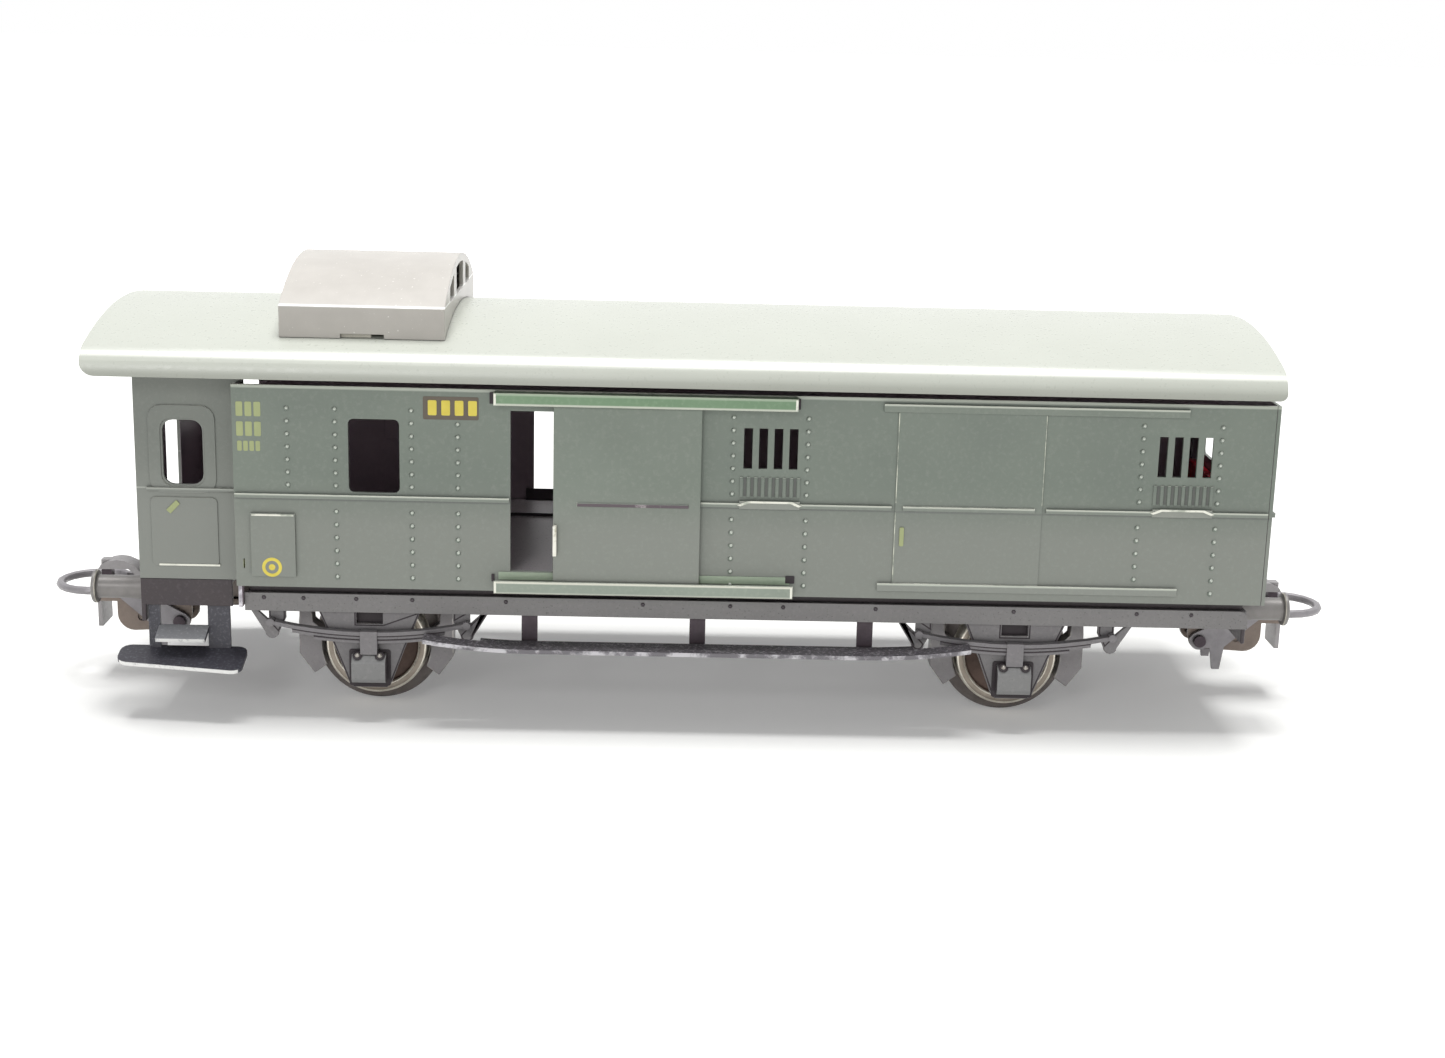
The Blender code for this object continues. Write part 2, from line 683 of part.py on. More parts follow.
def make_porch(material):
    """The guard's porch: two narrow sides and an end wall with the gangway, in one folded sheet."""
    z = SIDE_BOTTOM
    right = SIDE_LEFT + 2 * SHEET
    top = roof_underside(HALF_PORCH, SEAT)
    window_left = PORCH_LEFT + PORCH_WINDOW_FROM_END
    window = rounded(window_left, z + PORCH_WINDOW_SILL, window_left + PORCH_WINDOW_WIDTH,
                     z + PORCH_WINDOW_SILL + PORCH_WINDOW_HEIGHT, 2 * WINDOW_CORNER)
    pieces = []
    for side in (-1, 1):
        wall = plate(rectangle(PORCH_LEFT, z, right, top), SHEET, [window], "XZ",
                     side * (HALF_PORCH - SHEET / 2))
        door_left = PORCH_LEFT + PORCH_DOOR_FROM_END
        door_right = door_left + PORCH_DOOR_WIDTH
        frame = rounded(window_left - 2 * BITE, z + PORCH_WINDOW_SILL - 2 * BITE,
                        window_left + PORCH_WINDOW_WIDTH + 2 * BITE,
                        z + PORCH_WINDOW_SILL + PORCH_WINDOW_HEIGHT + 2 * BITE, 2 * WINDOW_CORNER + BITE)
        panels = ((BELT_Z - BELT_TALL, z + PORCH_DOOR_SILL + PORCH_DOOR_HEIGHT, PORCH_DOOR_CORNER, [frame]),
                  (z + PORCH_DOOR_SILL, BELT_Z - 2 * BELT_TALL, WINDOW_CORNER, ()))
        panel_y = side * (HALF_PORCH + (PRESSING_RISE - BITE) / 2)
        for low, high, corner, holes in panels:
            panel = rounded(door_left, low, door_right, high, corner)
            pieces.append(plate(panel, BITE + PRESSING_RISE, holes, "XZ", panel_y))
        pieces.append(pressing(door_left - PORCH_DOOR_FROM_END / 4, BELT_Z - BELT_TALL / 2, SIDE_LEFT - SEAT,
                               BELT_Z + BELT_TALL / 4, BELT_RISE, side, HALF_PORCH))
        pieces.append(wall)
    gangway = rounded(-GANGWAY_WIDTH / 2, z + PORCH_DOOR_SILL + FRAME_SHEET, GANGWAY_WIDTH / 2,
                      z + PORCH_DOOR_SILL + FRAME_SHEET + GANGWAY_HEIGHT, WINDOW_CORNER)
    outline = [(-HALF_PORCH, z), (HALF_PORCH, z)] + gable_arc(HALF_PORCH)
    end = plate(outline, SHEET, [gangway], "YZ", PORCH_LEFT + SHEET / 2)
    return finished(combined(end, pieces), "porch_shell", material, (PORCH_LEFT, 0, SIDE_BOTTOM))


def make_right_end(material):
    """The right end wall, with its windows, lamp holes and the gable that carries the roof."""
    z = SIDE_BOTTOM
    outline = [(-HALF_BODY, z), (HALF_BODY, z), (HALF_BODY, SIDE_TOP), (GABLE_WIDTH / 2, SIDE_TOP)]
    outline += gable_arc(GABLE_WIDTH / 2)
    outline += [(-GABLE_WIDTH / 2, SIDE_TOP), (-HALF_BODY, SIDE_TOP)]
    holes = []
    for low, high in END_WINDOWS:
        holes.append(rounded(low, z + WINDOW_SILL, high, z + WINDOW_SILL + END_WINDOW_HEIGHT,
                             WINDOW_CORNER))
    for side in (-1, 1):
        holes.append(circle((side * LAMP_OFFSET, z + LAMP_HEIGHT), LAMP_RADIUS + RUNNING))
    wall = plate(outline, SHEET, holes, "YZ", SIDE_RIGHT - SHEET / 2)
    belt = box((SIDE_RIGHT - BITE, BITE - HALF_BODY, BELT_Z - BELT_TALL / 2),
               (SIDE_RIGHT + BELT_RISE, HALF_BODY - BITE, BELT_Z + BELT_TALL / 2))
    return finished(combined(wall, [belt]), "right_end_wall", material, (SIDE_RIGHT, 0, SIDE_BOTTOM))


def make_tail_lamp(material):
    """One clear red moulding behind the right end wall, with a lens through each lamp hole."""
    z = SIDE_BOTTOM + LAMP_HEIGHT
    inner = SIDE_RIGHT - SHEET - SEAT
    reach = LAMP_OFFSET + 1.4 * LAMP_RADIUS
    bar = box((inner - LAMP_BAR_THICK, -reach, z - LAMP_BAR_TALL / 2),
              (inner, reach, z + LAMP_BAR_TALL / 2), BITE)
    lenses = [rod((inner - 2 * BITE, side * LAMP_OFFSET, z), (SIDE_RIGHT + BELT_RISE, side * LAMP_OFFSET, z),
                  LAMP_RADIUS) for side in (-1, 1)]
    return finished(combined(bar, lenses), "tail_lamp_insert", material, (inner, 0, z))


def make_sliding_door(side, name, material):
    """A sliding door, standing partly open. Its edges run in the rails."""
    left = SIDE_LEFT + DOORWAY_FROM_END - DOOR_LAP + DOOR_OPEN_BY
    right = left + DOOR_WIDTH
    panel = plate(rectangle(left, door_bottom(), right, door_top()), DOOR_SHEET, (), "XZ",
                  side * (DOOR_INNER_Y + DOOR_SHEET / 2))
    bead_z = BELT_Z - BELT_TALL / 4
    bead = pressing(left + 2 * DOOR_LAP, bead_z - DOOR_BEAD_TALL / 2, right - DOOR_LAP,
                    bead_z + DOOR_BEAD_TALL / 2, DOOR_BEAD_RISE, side, DOOR_OUTER_Y)
    handle_z = door_bottom() + HANDLE_SILL
    ys = sorted((side * (DOOR_OUTER_Y - BITE), side * (DOOR_OUTER_Y + HANDLE_REACH)))
    handle = box((left, ys[0], handle_z), (left + DOOR_SHEET, ys[1], handle_z + HANDLE_HEIGHT))
    door = combined(panel, [bead, handle])
    return finished(door, name, material, (left, side * DOOR_INNER_Y, door_bottom()))


# ---------------------------------------------------------------- roof


def roof_profile(inset, steps=14):
    """The roof's section from the -Y edge over the crown to the +Y edge, moved in by inset."""
    edge, crown = ROOF_EDGE_RADIUS - inset, ROOF_CROWN_RADIUS - inset
    lean = math.degrees(math.asin(ROOF_EDGE_Y / (ROOF_CROWN_RADIUS - ROOF_EDGE_RADIUS)))
    right = arc((ROOF_EDGE_Y, ROOF_EDGE_Z), edge, 0, 90 - lean, 5)
    top = arc((0, CROWN_CENTRE_Z), crown, 90 - lean, 90 + lean, steps)
    left = arc((-ROOF_EDGE_Y, ROOF_EDGE_Z), edge, 90 + lean, 180, 5)
    return right + top[1:-1] + left


def make_roof(material):
    """The rolled roof sheet, with its lower corners rounded off at both ends."""
    outline = roof_profile(0.0) + list(reversed(roof_profile(SHEET)))
    roof = plate(outline, ROOF_RIGHT - ROOF_LEFT, (), "YZ", (ROOF_LEFT + ROOF_RIGHT) / 2)
    reach = ROOF_WIDTH / 2 + SHEET
    cutters = []
    for end, direction, radius in ((ROOF_LEFT, 1, ROOF_CORNER_LEFT), (ROOF_RIGHT, -1, ROOF_CORNER_RIGHT)):
        centre = (end + direction * radius, ROOF_EDGE_Z + radius)
        start, stop = (180, 270) if direction > 0 else (360, 270)
        corner = arc(centre, radius, start, stop, 6)
        corner += [(centre[0], ROOF_EDGE_Z - SHEET), (end - direction * SHEET, ROOF_EDGE_Z - SHEET),
                   (end - direction * SHEET, centre[1])]
        cutters.append(plate(corner, 2 * reach, (), "XZ"))
    roof = combined(roof, cutters, "DIFFERENCE")
    return finished(roof, "roof", material, ((ROOF_LEFT + ROOF_RIGHT) / 2, 0, ROOF_EDGE_Z))


def cupola_outline(inset):
    """The cupola's section: upright walls, an arched top, and an underside on the roof's crown.

    Moved in by an inset it is the hollow, which runs out below through a flat underside.
    """
    half = CUPOLA_WIDTH / 2 - inset
    seat_radius = ROOF_CROWN_RADIUS + SEAT
    reach = math.degrees(math.asin(half / seat_radius))
    under = arc((0, CROWN_CENTRE_Z), seat_radius, 90 + reach, 90 - reach, 12)
    if inset:
        low = cupola_brow() - CUPOLA_WALL - CUPOLA_SHEET
        under = [(-half, low), (half, low)]
    brow = cupola_brow()
    rise = CUPOLA_RISE
    half_outer = CUPOLA_WIDTH / 2
    radius = (half_outer**2 + rise**2) / (2 * rise)
    centre = brow + rise - radius
    lean = math.degrees(math.asin(half / (radius - inset)))
    top = arc((0, centre), radius - inset, 90 - lean, 90 + lean, 14)
    return under + top


def cupola_brow():
    seat = CROWN_CENTRE_Z + math.sqrt(ROOF_CROWN_RADIUS**2 - (CUPOLA_WIDTH / 2) ** 2)
    return seat + CUPOLA_WALL


def make_cupola(material):
    """The lookout on the roof: a hollow moulding, open below, with windows in both end faces."""
    left = ROOF_LEFT + CUPOLA_FROM_END
    middle = left + CUPOLA_LENGTH / 2
    shell = plate(cupola_outline(0.0), CUPOLA_LENGTH, (), "YZ", middle)
    hollow = plate(cupola_outline(CUPOLA_SHEET), CUPOLA_LENGTH - 2 * CUPOLA_SHEET, (), "YZ", middle)
    cutters = [hollow]
    crown_radius = ((CUPOLA_WIDTH / 2) ** 2 + CUPOLA_RISE**2) / (2 * CUPOLA_RISE)
    crown_centre = cupola_brow() + CUPOLA_RISE - crown_radius
    sill = cupola_brow() + CUPOLA_WINDOW_SILL - CUPOLA_SHEET
    for low, high in CUPOLA_WINDOWS:
        radius = crown_radius - 2 * CUPOLA_SHEET
        y0, y1 = low, high
        start = math.degrees(math.acos(y1 / radius))
        stop = math.degrees(math.acos(y0 / radius))
        window = [(y0, sill), (y1, sill)] + arc((0, crown_centre), radius, start, stop, 4)
        cutters.append(plate(window, CUPOLA_LENGTH + 2 * CUPOLA_SHEET, (), "YZ", middle))
    edge = cupola_brow() - CUPOLA_WALL
    notch, front = CUPOLA_NOTCH_WIDTH / 2, -CUPOLA_WIDTH / 2
    cutters.append(box((middle - notch, front - CUPOLA_SHEET, edge - CUPOLA_SHEET),
                       (middle + notch, front + 1.5 * CUPOLA_SHEET, edge + CUPOLA_NOTCH_HEIGHT)))
    shell = combined(shell, cutters, "DIFFERENCE")
    return finished(shell, "cupola", material, (middle, 0, edge))


# ---------------------------------------------------------------- floor and underframe


def make_floor(material):
    """The floor tray: a flat plate, narrower in the porch, on two folded flanges."""
    side_y = HALF_BODY - SHEET - SEAT
    porch_y = HALF_PORCH - SHEET - SEAT
    step = SIDE_LEFT + SHEET + SEAT
    left = PORCH_LEFT + SHEET + SEAT
    right = SIDE_RIGHT - SHEET - SEAT
    porch_end = SIDE_LEFT + 2 * SHEET + SEAT
    outline = [(left, -porch_y), (porch_end, -porch_y), (porch_end, -side_y), (right, -side_y),
               (right, side_y), (porch_end, side_y), (porch_end, porch_y), (left, porch_y)]
    tray = plate(outline, FRAME_SHEET, (), "XY", FLOOR_TOP - FRAME_SHEET / 2)
    flange_right = SIDE_RIGHT - UNDERFRAME_INSET_RIGHT - FRAME_SHEET
    flanges = []
    for side in (-1, 1):
        ys = sorted((side * TRAY_Y, side * (TRAY_Y - FRAME_SHEET)))
        flanges.append(box((step + UNDERFRAME_INSET_LEFT, ys[0], WEB_TOP + SEAT),
                           (flange_right, ys[1], FLOOR_BOTTOM + BITE)))
    return finished(combined(tray, flanges), "floor_tray", material, (0, 0, FLOOR_TOP))


def make_underframe(material):
    """The folded underframe channel: its flanges are the solebars, and its web is slotted for the wheels."""
    left = SIDE_LEFT + UNDERFRAME_INSET_LEFT
    right = SIDE_RIGHT - UNDERFRAME_INSET_RIGHT
    reach = HALF_FRAME - 2 * BITE
    slots = []
    for end in (-1, 1):
        for side in (-1, 1):
            x0, x1 = (end * WHEELBASE / 2 + step * WHEEL_SLOT_LENGTH / 2 for step in (-1, 1))
            ys = sorted((side * (BACK_TO_BACK / 2 - WHEEL_SLOT_MARGIN),
                         side * (BACK_TO_BACK / 2 + WHEEL_WIDTH + WHEEL_SLOT_MARGIN)))
            slots.append(rounded(x0, ys[0], x1, ys[1], WHEEL_SLOT_MARGIN))
    web = plate(rectangle(left + BITE, -reach, right - BITE, reach), FRAME_SHEET, slots, "XY",
                (WEB_TOP + WEB_BOTTOM) / 2)
    outline = [(left, SOLEBAR_BOTTOM), (right, SOLEBAR_BOTTOM)]
    outline += arc((right - SOLEBAR_CORNER, SOLEBAR_TOP - SOLEBAR_CORNER), SOLEBAR_CORNER, 0, 90, 5)
    outline += [(left, SOLEBAR_TOP)]
    solebars = [plate(outline, FRAME_SHEET, (), "XZ", side * (HALF_FRAME - FRAME_SHEET / 2))
                for side in (-1, 1)]
    return finished(combined(web, solebars), "underframe", material, ((left + right) / 2, 0, SOLEBAR_TOP))


def make_left_headstock(material):
    """The box under the porch: buffer beam, two cheeks and a top plate, folded from one sheet."""
    left, right = PORCH_LEFT, SIDE_LEFT - CHEEK_END_GAP
    top = SIDE_BOTTOM - SEAT
    half = HEADSTOCK_WIDTH / 2
    beam = box((left, -half, top - HEADSTOCK_DEPTH), (left + FRAME_SHEET, half, top))
    pieces = [box((left + BITE, -half + BITE, top - FRAME_SHEET), (right, half - BITE, top))]
    for side in (-1, 1):
        ys = sorted((side * half, side * (half - FRAME_SHEET)))
        pieces.append(box((left + BITE, ys[0], top - CHEEK_DEPTH), (right, ys[1], top)))
    return finished(combined(beam, pieces), "left_headstock", material, (left, 0, top))


def make_right_headstock(material):
    """The right buffer beam: an angle under the end wall, between the solebars."""
    x = SIDE_RIGHT - UNDERFRAME_INSET_RIGHT - FRAME_SHEET
    half = HALF_FRAME - FRAME_SHEET - SEAT
    top = UNDER_WEB
    low = SIDE_BOTTOM - SEAT - HEADSTOCK_DEPTH
    beam = box((x, -half, low), (x + FRAME_SHEET, half, top))
    flange = box((x - 2 * CHEEK_DEPTH / 2, -half, top - FRAME_SHEET), (x + BITE, half, top))
    return finished(combined(beam, [flange]), "right_headstock", material, (x + FRAME_SHEET, 0, top))


def buffer_profile(length):
    """Radius and height of a buffer from its root to its face."""
    head = BUFFER_HEAD_THICK
    rim = head / 3
    return [(BUFFER_ROOT_RADIUS, 0.0), (BUFFER_SHANK_RADIUS, length * 0.35),
            (BUFFER_SHANK_RADIUS, length - head), (BUFFER_HEAD_RADIUS, length - head + rim / 2),
            (BUFFER_HEAD_RADIUS, length - rim), (BUFFER_HEAD_RADIUS - rim, length)]


def make_buffers(material):
    """Four turned buffers. The left ones stand out further, so that both ends reach the same face."""
    roots = {"left": PORCH_LEFT - SEAT, "right": SIDE_RIGHT - UNDERFRAME_INSET_RIGHT + SEAT}
    for end, direction in (("left", -1), ("right", 1)):
        root = roots[end]
        length = BUFFER_FACE - abs(root)
        for side, word in ((-1, "near"), (1, "far")):
            buffer = turned(buffer_profile(length), 20, "X")
            if direction < 0:
                buffer.data.transform(Matrix.Rotation(math.pi, 4, "Z"))
            place = (root, side * BUFFER_SPACING / 2, BUFFER_HEIGHT)
            finished(moved(buffer, place), f"{end}_buffer_{word}", material, place)


# ---------------------------------------------------------------- running gear


def wheel_profile():
    """Half section of a wheel, from the back of the flange to the face: radius and distance out."""
    flange = TREAD_RADIUS + FLANGE_HEIGHT
    inner = TREAD_RADIUS - TYRE_THICK
    return [(HUB_RADIUS, 0.0), (inner, 0.0), (flange - FLANGE_WIDTH / 2, 0.0),
            (flange, FLANGE_WIDTH * 0.4), (flange - FLANGE_WIDTH / 3, FLANGE_WIDTH * 0.8),
            (TREAD_RADIUS, FLANGE_WIDTH * 1.25), (TREAD_RADIUS - FLANGE_WIDTH / 8, WHEEL_WIDTH),
            (inner, WHEEL_WIDTH), (inner - FLANGE_WIDTH / 4, WHEEL_WIDTH - WEB_RECESS),
            (HUB_RADIUS, WHEEL_WIDTH - WEB_RECESS), (HUB_RADIUS, WHEEL_WIDTH)]


def make_wheelset(x, end, steel, wheel_paint):
    """One axle and its two wheels, pressed on. The journals run in the guards."""
    shoulder = GUARD_INNER_Y - 2 * SEAT
    journal_end = GUARD_OUTER_Y - SEAT
    axle_profile = [(JOURNAL_RADIUS, -journal_end), (JOURNAL_RADIUS, -shoulder), (AXLE_RADIUS, -shoulder),
                    (AXLE_RADIUS, shoulder), (JOURNAL_RADIUS, shoulder), (JOURNAL_RADIUS, journal_end)]
    place = (x, 0, AXLE_Z)
    axle = turned(axle_profile, 20, "Y")
    finished(moved(axle, place), f"{end}_axle", steel, place)
    for side, word in ((-1, "near"), (1, "far")):
        wheel = turned(wheel_profile(), 40, "Y")
        bore = rod((0, -WHEEL_WIDTH, 0), (0, 2 * WHEEL_WIDTH, 0), AXLE_RADIUS + SEAT / 2, 20)
        wheel = combined(wheel, [bore], "DIFFERENCE")
        if side < 0:
            wheel.data.transform(Matrix.Rotation(math.pi, 4, "Z"))
        moved(wheel, (x, side * BACK_TO_BACK / 2, AXLE_Z))
        finished(wheel, f"{end}_wheel_{word}", wheel_paint, place)


def guard_outline():
    """Half of the guard with its spring shackle and strut, from the foot up, about the axle's line."""
    foot = GUARD_FOOT_WIDTH / 2
    end = SPRING_SPAN / 2
    low = SPRING_TOP - SHACKLE_DROP
    rail = UNDER_WEB - SHACKLE_WIDTH / 2
    outline = [(foot - GUARD_SHEET, GUARD_FOOT_HEIGHT), (foot, GUARD_FOOT_HEIGHT + GUARD_SHEET),
               (GUARD_MIDDLE_WIDTH / 2, GUARD_MIDDLE_HEIGHT), (GUARD_TOP_WIDTH / 2, SOLEBAR_BOTTOM),
               (GUARD_TOP_WIDTH / 2, rail), (end - SHACKLE_WIDTH, rail), (end - SHACKLE_WIDTH, SPRING_TOP)]
    outline += arc((end, low + SHACKLE_WIDTH / 2), SHACKLE_WIDTH / 2, 180, 360, 6)
    return outline + [(end + STRUT_REACH, SOLEBAR_BOTTOM), (end + STRUT_REACH, UNDER_WEB)]


def make_axle_guard():
    """The W-shaped guard plate with the journal hole, and the shackles and struts beside it."""
    right = guard_outline()
    outline = right + [(-x, z) for x, z in reversed(right)]
    slot_z = SPRING_TOP - SPRING_LEAF
    end = SPRING_SPAN / 2
    holes = [rectangle(-GUARD_SLOT_WIDTH / 2, slot_z, GUARD_SLOT_WIDTH / 2, slot_z + GUARD_SLOT_HEIGHT),
             circle((0, AXLE_Z), JOURNAL_RADIUS + RUNNING, 20)]
    for side in (-1, 1):
        holes.append([(side * (end + STRUT_THICK / 2), SPRING_TOP - STRUT_THICK / 2),
                      (side * (end + STRUT_REACH - STRUT_THICK), SOLEBAR_BOTTOM),
                      (side * (end + STRUT_THICK / 2), SOLEBAR_BOTTOM)])
    return plate(outline, GUARD_SHEET, holes, "XZ", -(GUARD_INNER_Y + GUARD_OUTER_Y) / 2)


def leaf_line(half, top, steps=8):
    """A leaf's top edge: it sags towards the axle by a parabola."""
    points = []
    for i in range(steps + 1):
        x = -half + 2 * half * i / steps
        points.append((x, top - SPRING_DROP * (1 - (2 * x / SPRING_SPAN) ** 2)))
    return points


def make_leaf_spring():
    """Three leaves, each shorter than the one above, and the buckle round their middle."""
    y = -(SPRING_INNER_Y + SPRING_WIDTH / 2)
    leaves = []
    for i in range(SPRING_LEAVES):
        half = SPRING_SPAN / 2 * (1 - 0.22 * i)
        top = SPRING_TOP - i * (SPRING_LEAF - BITE / 2)
        line = leaf_line(half, top)
        outline = line + [(x, z - SPRING_LEAF) for x, z in reversed(line)]
        leaves.append(plate(outline, SPRING_WIDTH - i * BITE, (), "XZ", y))
    eye_z = SPRING_TOP - SPRING_LEAF / 2
    for side in (-1, 1):
        leaves.append(rod((side * SPRING_SPAN / 2, y - SPRING_WIDTH / 2 - BITE / 2, eye_z),
                          (side * SPRING_SPAN / 2, y + SPRING_WIDTH / 2 - BITE / 2, eye_z), SPRING_LEAF, 12))
    low = AXLE_Z + AXLE_BOX_LIFT + AXLE_BOX_HEIGHT / 2 + SEAT
    buckle = box((-BUCKLE_WIDTH / 2, y - SPRING_WIDTH / 2 - BITE, low),
                 (BUCKLE_WIDTH / 2, y + SPRING_WIDTH / 2 - BITE / 2, SPRING_TOP - SPRING_DROP + BITE))
    return combined(buckle, leaves)


def make_axle_box():
    """The axle box cover in front of the guard, with its sloping lid."""
    half, tall = AXLE_BOX_WIDTH / 2, AXLE_BOX_HEIGHT
    low = AXLE_Z + AXLE_BOX_LIFT - tall / 2
    inner = SPRING_INNER_Y
    outline = [(-inner, low), (-inner, low + tall), (-inner - AXLE_BOX_DEPTH * 0.6, low + tall),
               (-inner - AXLE_BOX_DEPTH, low + tall * 0.75), (-inner - AXLE_BOX_DEPTH, low + tall * 0.15),
               (-inner - AXLE_BOX_DEPTH * 0.8, low)]
    return plate(outline, 2 * half, (), "YZ")


def make_running_gear(colours):
    """The guards, springs and boxes at the four axle ends."""
    makers = (("axle_guard", make_axle_guard), ("leaf_spring", make_leaf_spring),
              ("axle_box", make_axle_box))
    for word, maker in makers:
        pattern = maker()
        for end, direction in (("left", -1), ("right", 1)):
            for side, place_word in ((-1, "near"), (1, "far")):
                piece = copied(pattern)
                if side > 0:
                    mirrored(piece, "Y")
                place = (direction * WHEELBASE / 2, 0, 0)
                finished(moved(piece, place), f"{end}_{word}_{place_word}", colours[word],
                         (place[0], side * GUARD_OUTER_Y, AXLE_Z))
        bpy.data.objects.remove(pattern, do_unlink=True)


def make_brake_shoes(material):
    """A shoe on each side of every wheel, hung from the underframe."""
    inner = TREAD_RADIUS + SHOE_GAP
    outer = inner + SHOE_THICK
    low, high = SHOE_ANGLES
    top = UNDER_WEB
    outline = list(reversed(arc((0, AXLE_Z), inner, low, high, 6)))
    outline += [(inner + SHOE_THICK * 0.35, AXLE_Z + outer * math.sin(math.radians(low))),
                (outer, AXLE_Z + inner * math.sin(math.radians(low)) * 0.5), (outer, AXLE_Z + SHOE_THICK),
                (outer - HANGER_WIDTH / 4, top), (outer - HANGER_WIDTH * 1.25, top),
                (inner + SHOE_THICK - HANGER_WIDTH * 1.5, AXLE_Z + SHOE_THICK)]
    middle = BACK_TO_BACK / 2 + WHEEL_WIDTH - SHOE_WIDTH / 2
    for end, direction in (("left", -1), ("right", 1)):
        for side, word in ((-1, "near"), (1, "far")):
            for hand, hand_word in ((-1, "outer" if direction < 0 else "inner"),
                                    (1, "inner" if direction < 0 else "outer")):
                shape = [(hand * x, z) for x, z in outline]
                shoe = plate(shape, SHOE_WIDTH, (), "XZ", side * middle)
                place = (direction * WHEELBASE / 2, 0, 0)
                finished(moved(shoe, place), f"{end}_brake_shoe_{word}_{hand_word}", material,
                         (place[0] + hand * outer, side * middle, top))


# ---------------------------------------------------------------- step boards


def board_line(steps=6):
    """The long board's top seen from the side, curved up towards both ends."""
    half = BOARD_LENGTH / 2
    flat = half - BOARD_END_LENGTH
    right = [(flat + BOARD_END_LENGTH * i / steps, BOARD_TOP + BOARD_END_RISE * (i / steps) ** 2)
             for i in range(steps + 1)]
    return [(-x, z) for x, z in reversed(right)] + right


def make_long_board(side, name, material):
    """A long step board and the three arms that carry it, stamped and folded from one sheet."""
    outer = HALF_FRAME + BOARD_OUTREACH
    inner = outer - BOARD_DEPTH
    line = [(BOARD_CENTRE + x, z) for x, z in board_line()]
    outline = line + [(x, z - BOARD_THICK) for x, z in reversed(line)]
    board = plate(outline, BOARD_DEPTH, (), "XZ", side * (inner + outer) / 2)
    cut_y = SPRING_INNER_Y + SPRING_WIDTH + 2 * BITE
    cutters = []
    for hand in (-1, 1):
        xs = sorted(BOARD_CENTRE + hand * x for x in (BOARD_LENGTH / 2 - BOARD_END_CUT, BOARD_LENGTH))
        ys = sorted((side * cut_y, side * (inner - 1.0)))
        cutters.append(box((xs[0], ys[0], BOARD_TOP - BOARD_END_RISE * 2),
                           (xs[1], ys[1], BOARD_TOP + BOARD_END_RISE * 3)))
    board = combined(board, cutters, "DIFFERENCE")
    arms = []
    arm_y = HALF_FRAME - FRAME_SHEET - SEAT
    top = UNDER_WEB
    for i in (-1, 0, 1):
        x = BOARD_CENTRE + i * ARM_SPACING
        ys = sorted((side * arm_y, side * (arm_y - FRAME_SHEET)))
        arms.append(box((x - ARM_WIDTH / 2, ys[0], BOARD_TOP - BOARD_THICK), (x + ARM_WIDTH / 2, ys[1], top)))
        ys = sorted((side * (arm_y - BITE), side * (inner + BITE)))
        arms.append(box((x - ARM_WIDTH / 2, ys[0], BOARD_TOP - BOARD_THICK + BITE / 2),
                        (x + ARM_WIDTH / 2, ys[1], BOARD_TOP - BITE / 2)))
    return finished(combined(board, arms), name, material, (BOARD_CENTRE, side * inner, BOARD_TOP))


def tread(length, depth, tilt, corner, taper=0.0):
    """A tread in its own frame: its back edge on X, tilted down towards -Y, narrower at -X by the taper."""
    outline = [(x, y + (taper * (0.5 - x / length) if y < -depth / 2 else 0))
               for x, y in rounded(-length / 2, -depth, length / 2, 0, corner)]
    board = plate(outline, FRAME_SHEET, (), "XY")
    board.data.transform(Matrix.Rotation(math.radians(tilt), 4, "X"))
    return board


def make_porch_step(side, name, material):
    """The two treads below the porch door, on two legs behind the cheek."""
    y = HEADSTOCK_WIDTH / 2 - FRAME_SHEET - SEAT
    top = SIDE_BOTTOM - SEAT - FRAME_SHEET - SEAT
    middle = PORCH_LEFT + PORCH_LENGTH / 2 - PORCH_STEP_LENGTH * 0.075
    gap = UPPER_TREAD_LENGTH / 2
    foot = top - PORCH_STEP_DROP
    legs = []
    for direction, width in zip((-1, 1), LEG_WIDTHS):
        x0, x1 = sorted((middle + direction * (gap - BITE), middle + direction * (gap + width)))
        legs.append(box((x0, -y, foot - FRAME_SHEET), (x1, -y + FRAME_SHEET, top)))
    upper = tread(UPPER_TREAD_LENGTH, UPPER_TREAD_DEPTH, UPPER_TREAD_TILT, BITE)
    moved(upper, (middle, -y + FRAME_SHEET / 2, top - UPPER_TREAD_DROP))
    lower = tread(PORCH_STEP_LENGTH, PORCH_STEP_DEPTH, PORCH_STEP_TILT, WINDOW_CORNER * 2, PORCH_STEP_TAPER)
    moved(lower, (middle, -y + FRAME_SHEET, foot))
    step = combined(legs[0], [lower, legs[1], upper])
    if side > 0:
        mirrored(step, "Y")
    return finished(step, name, material, (middle, side * y, top))


# ---------------------------------------------------------------- couplers


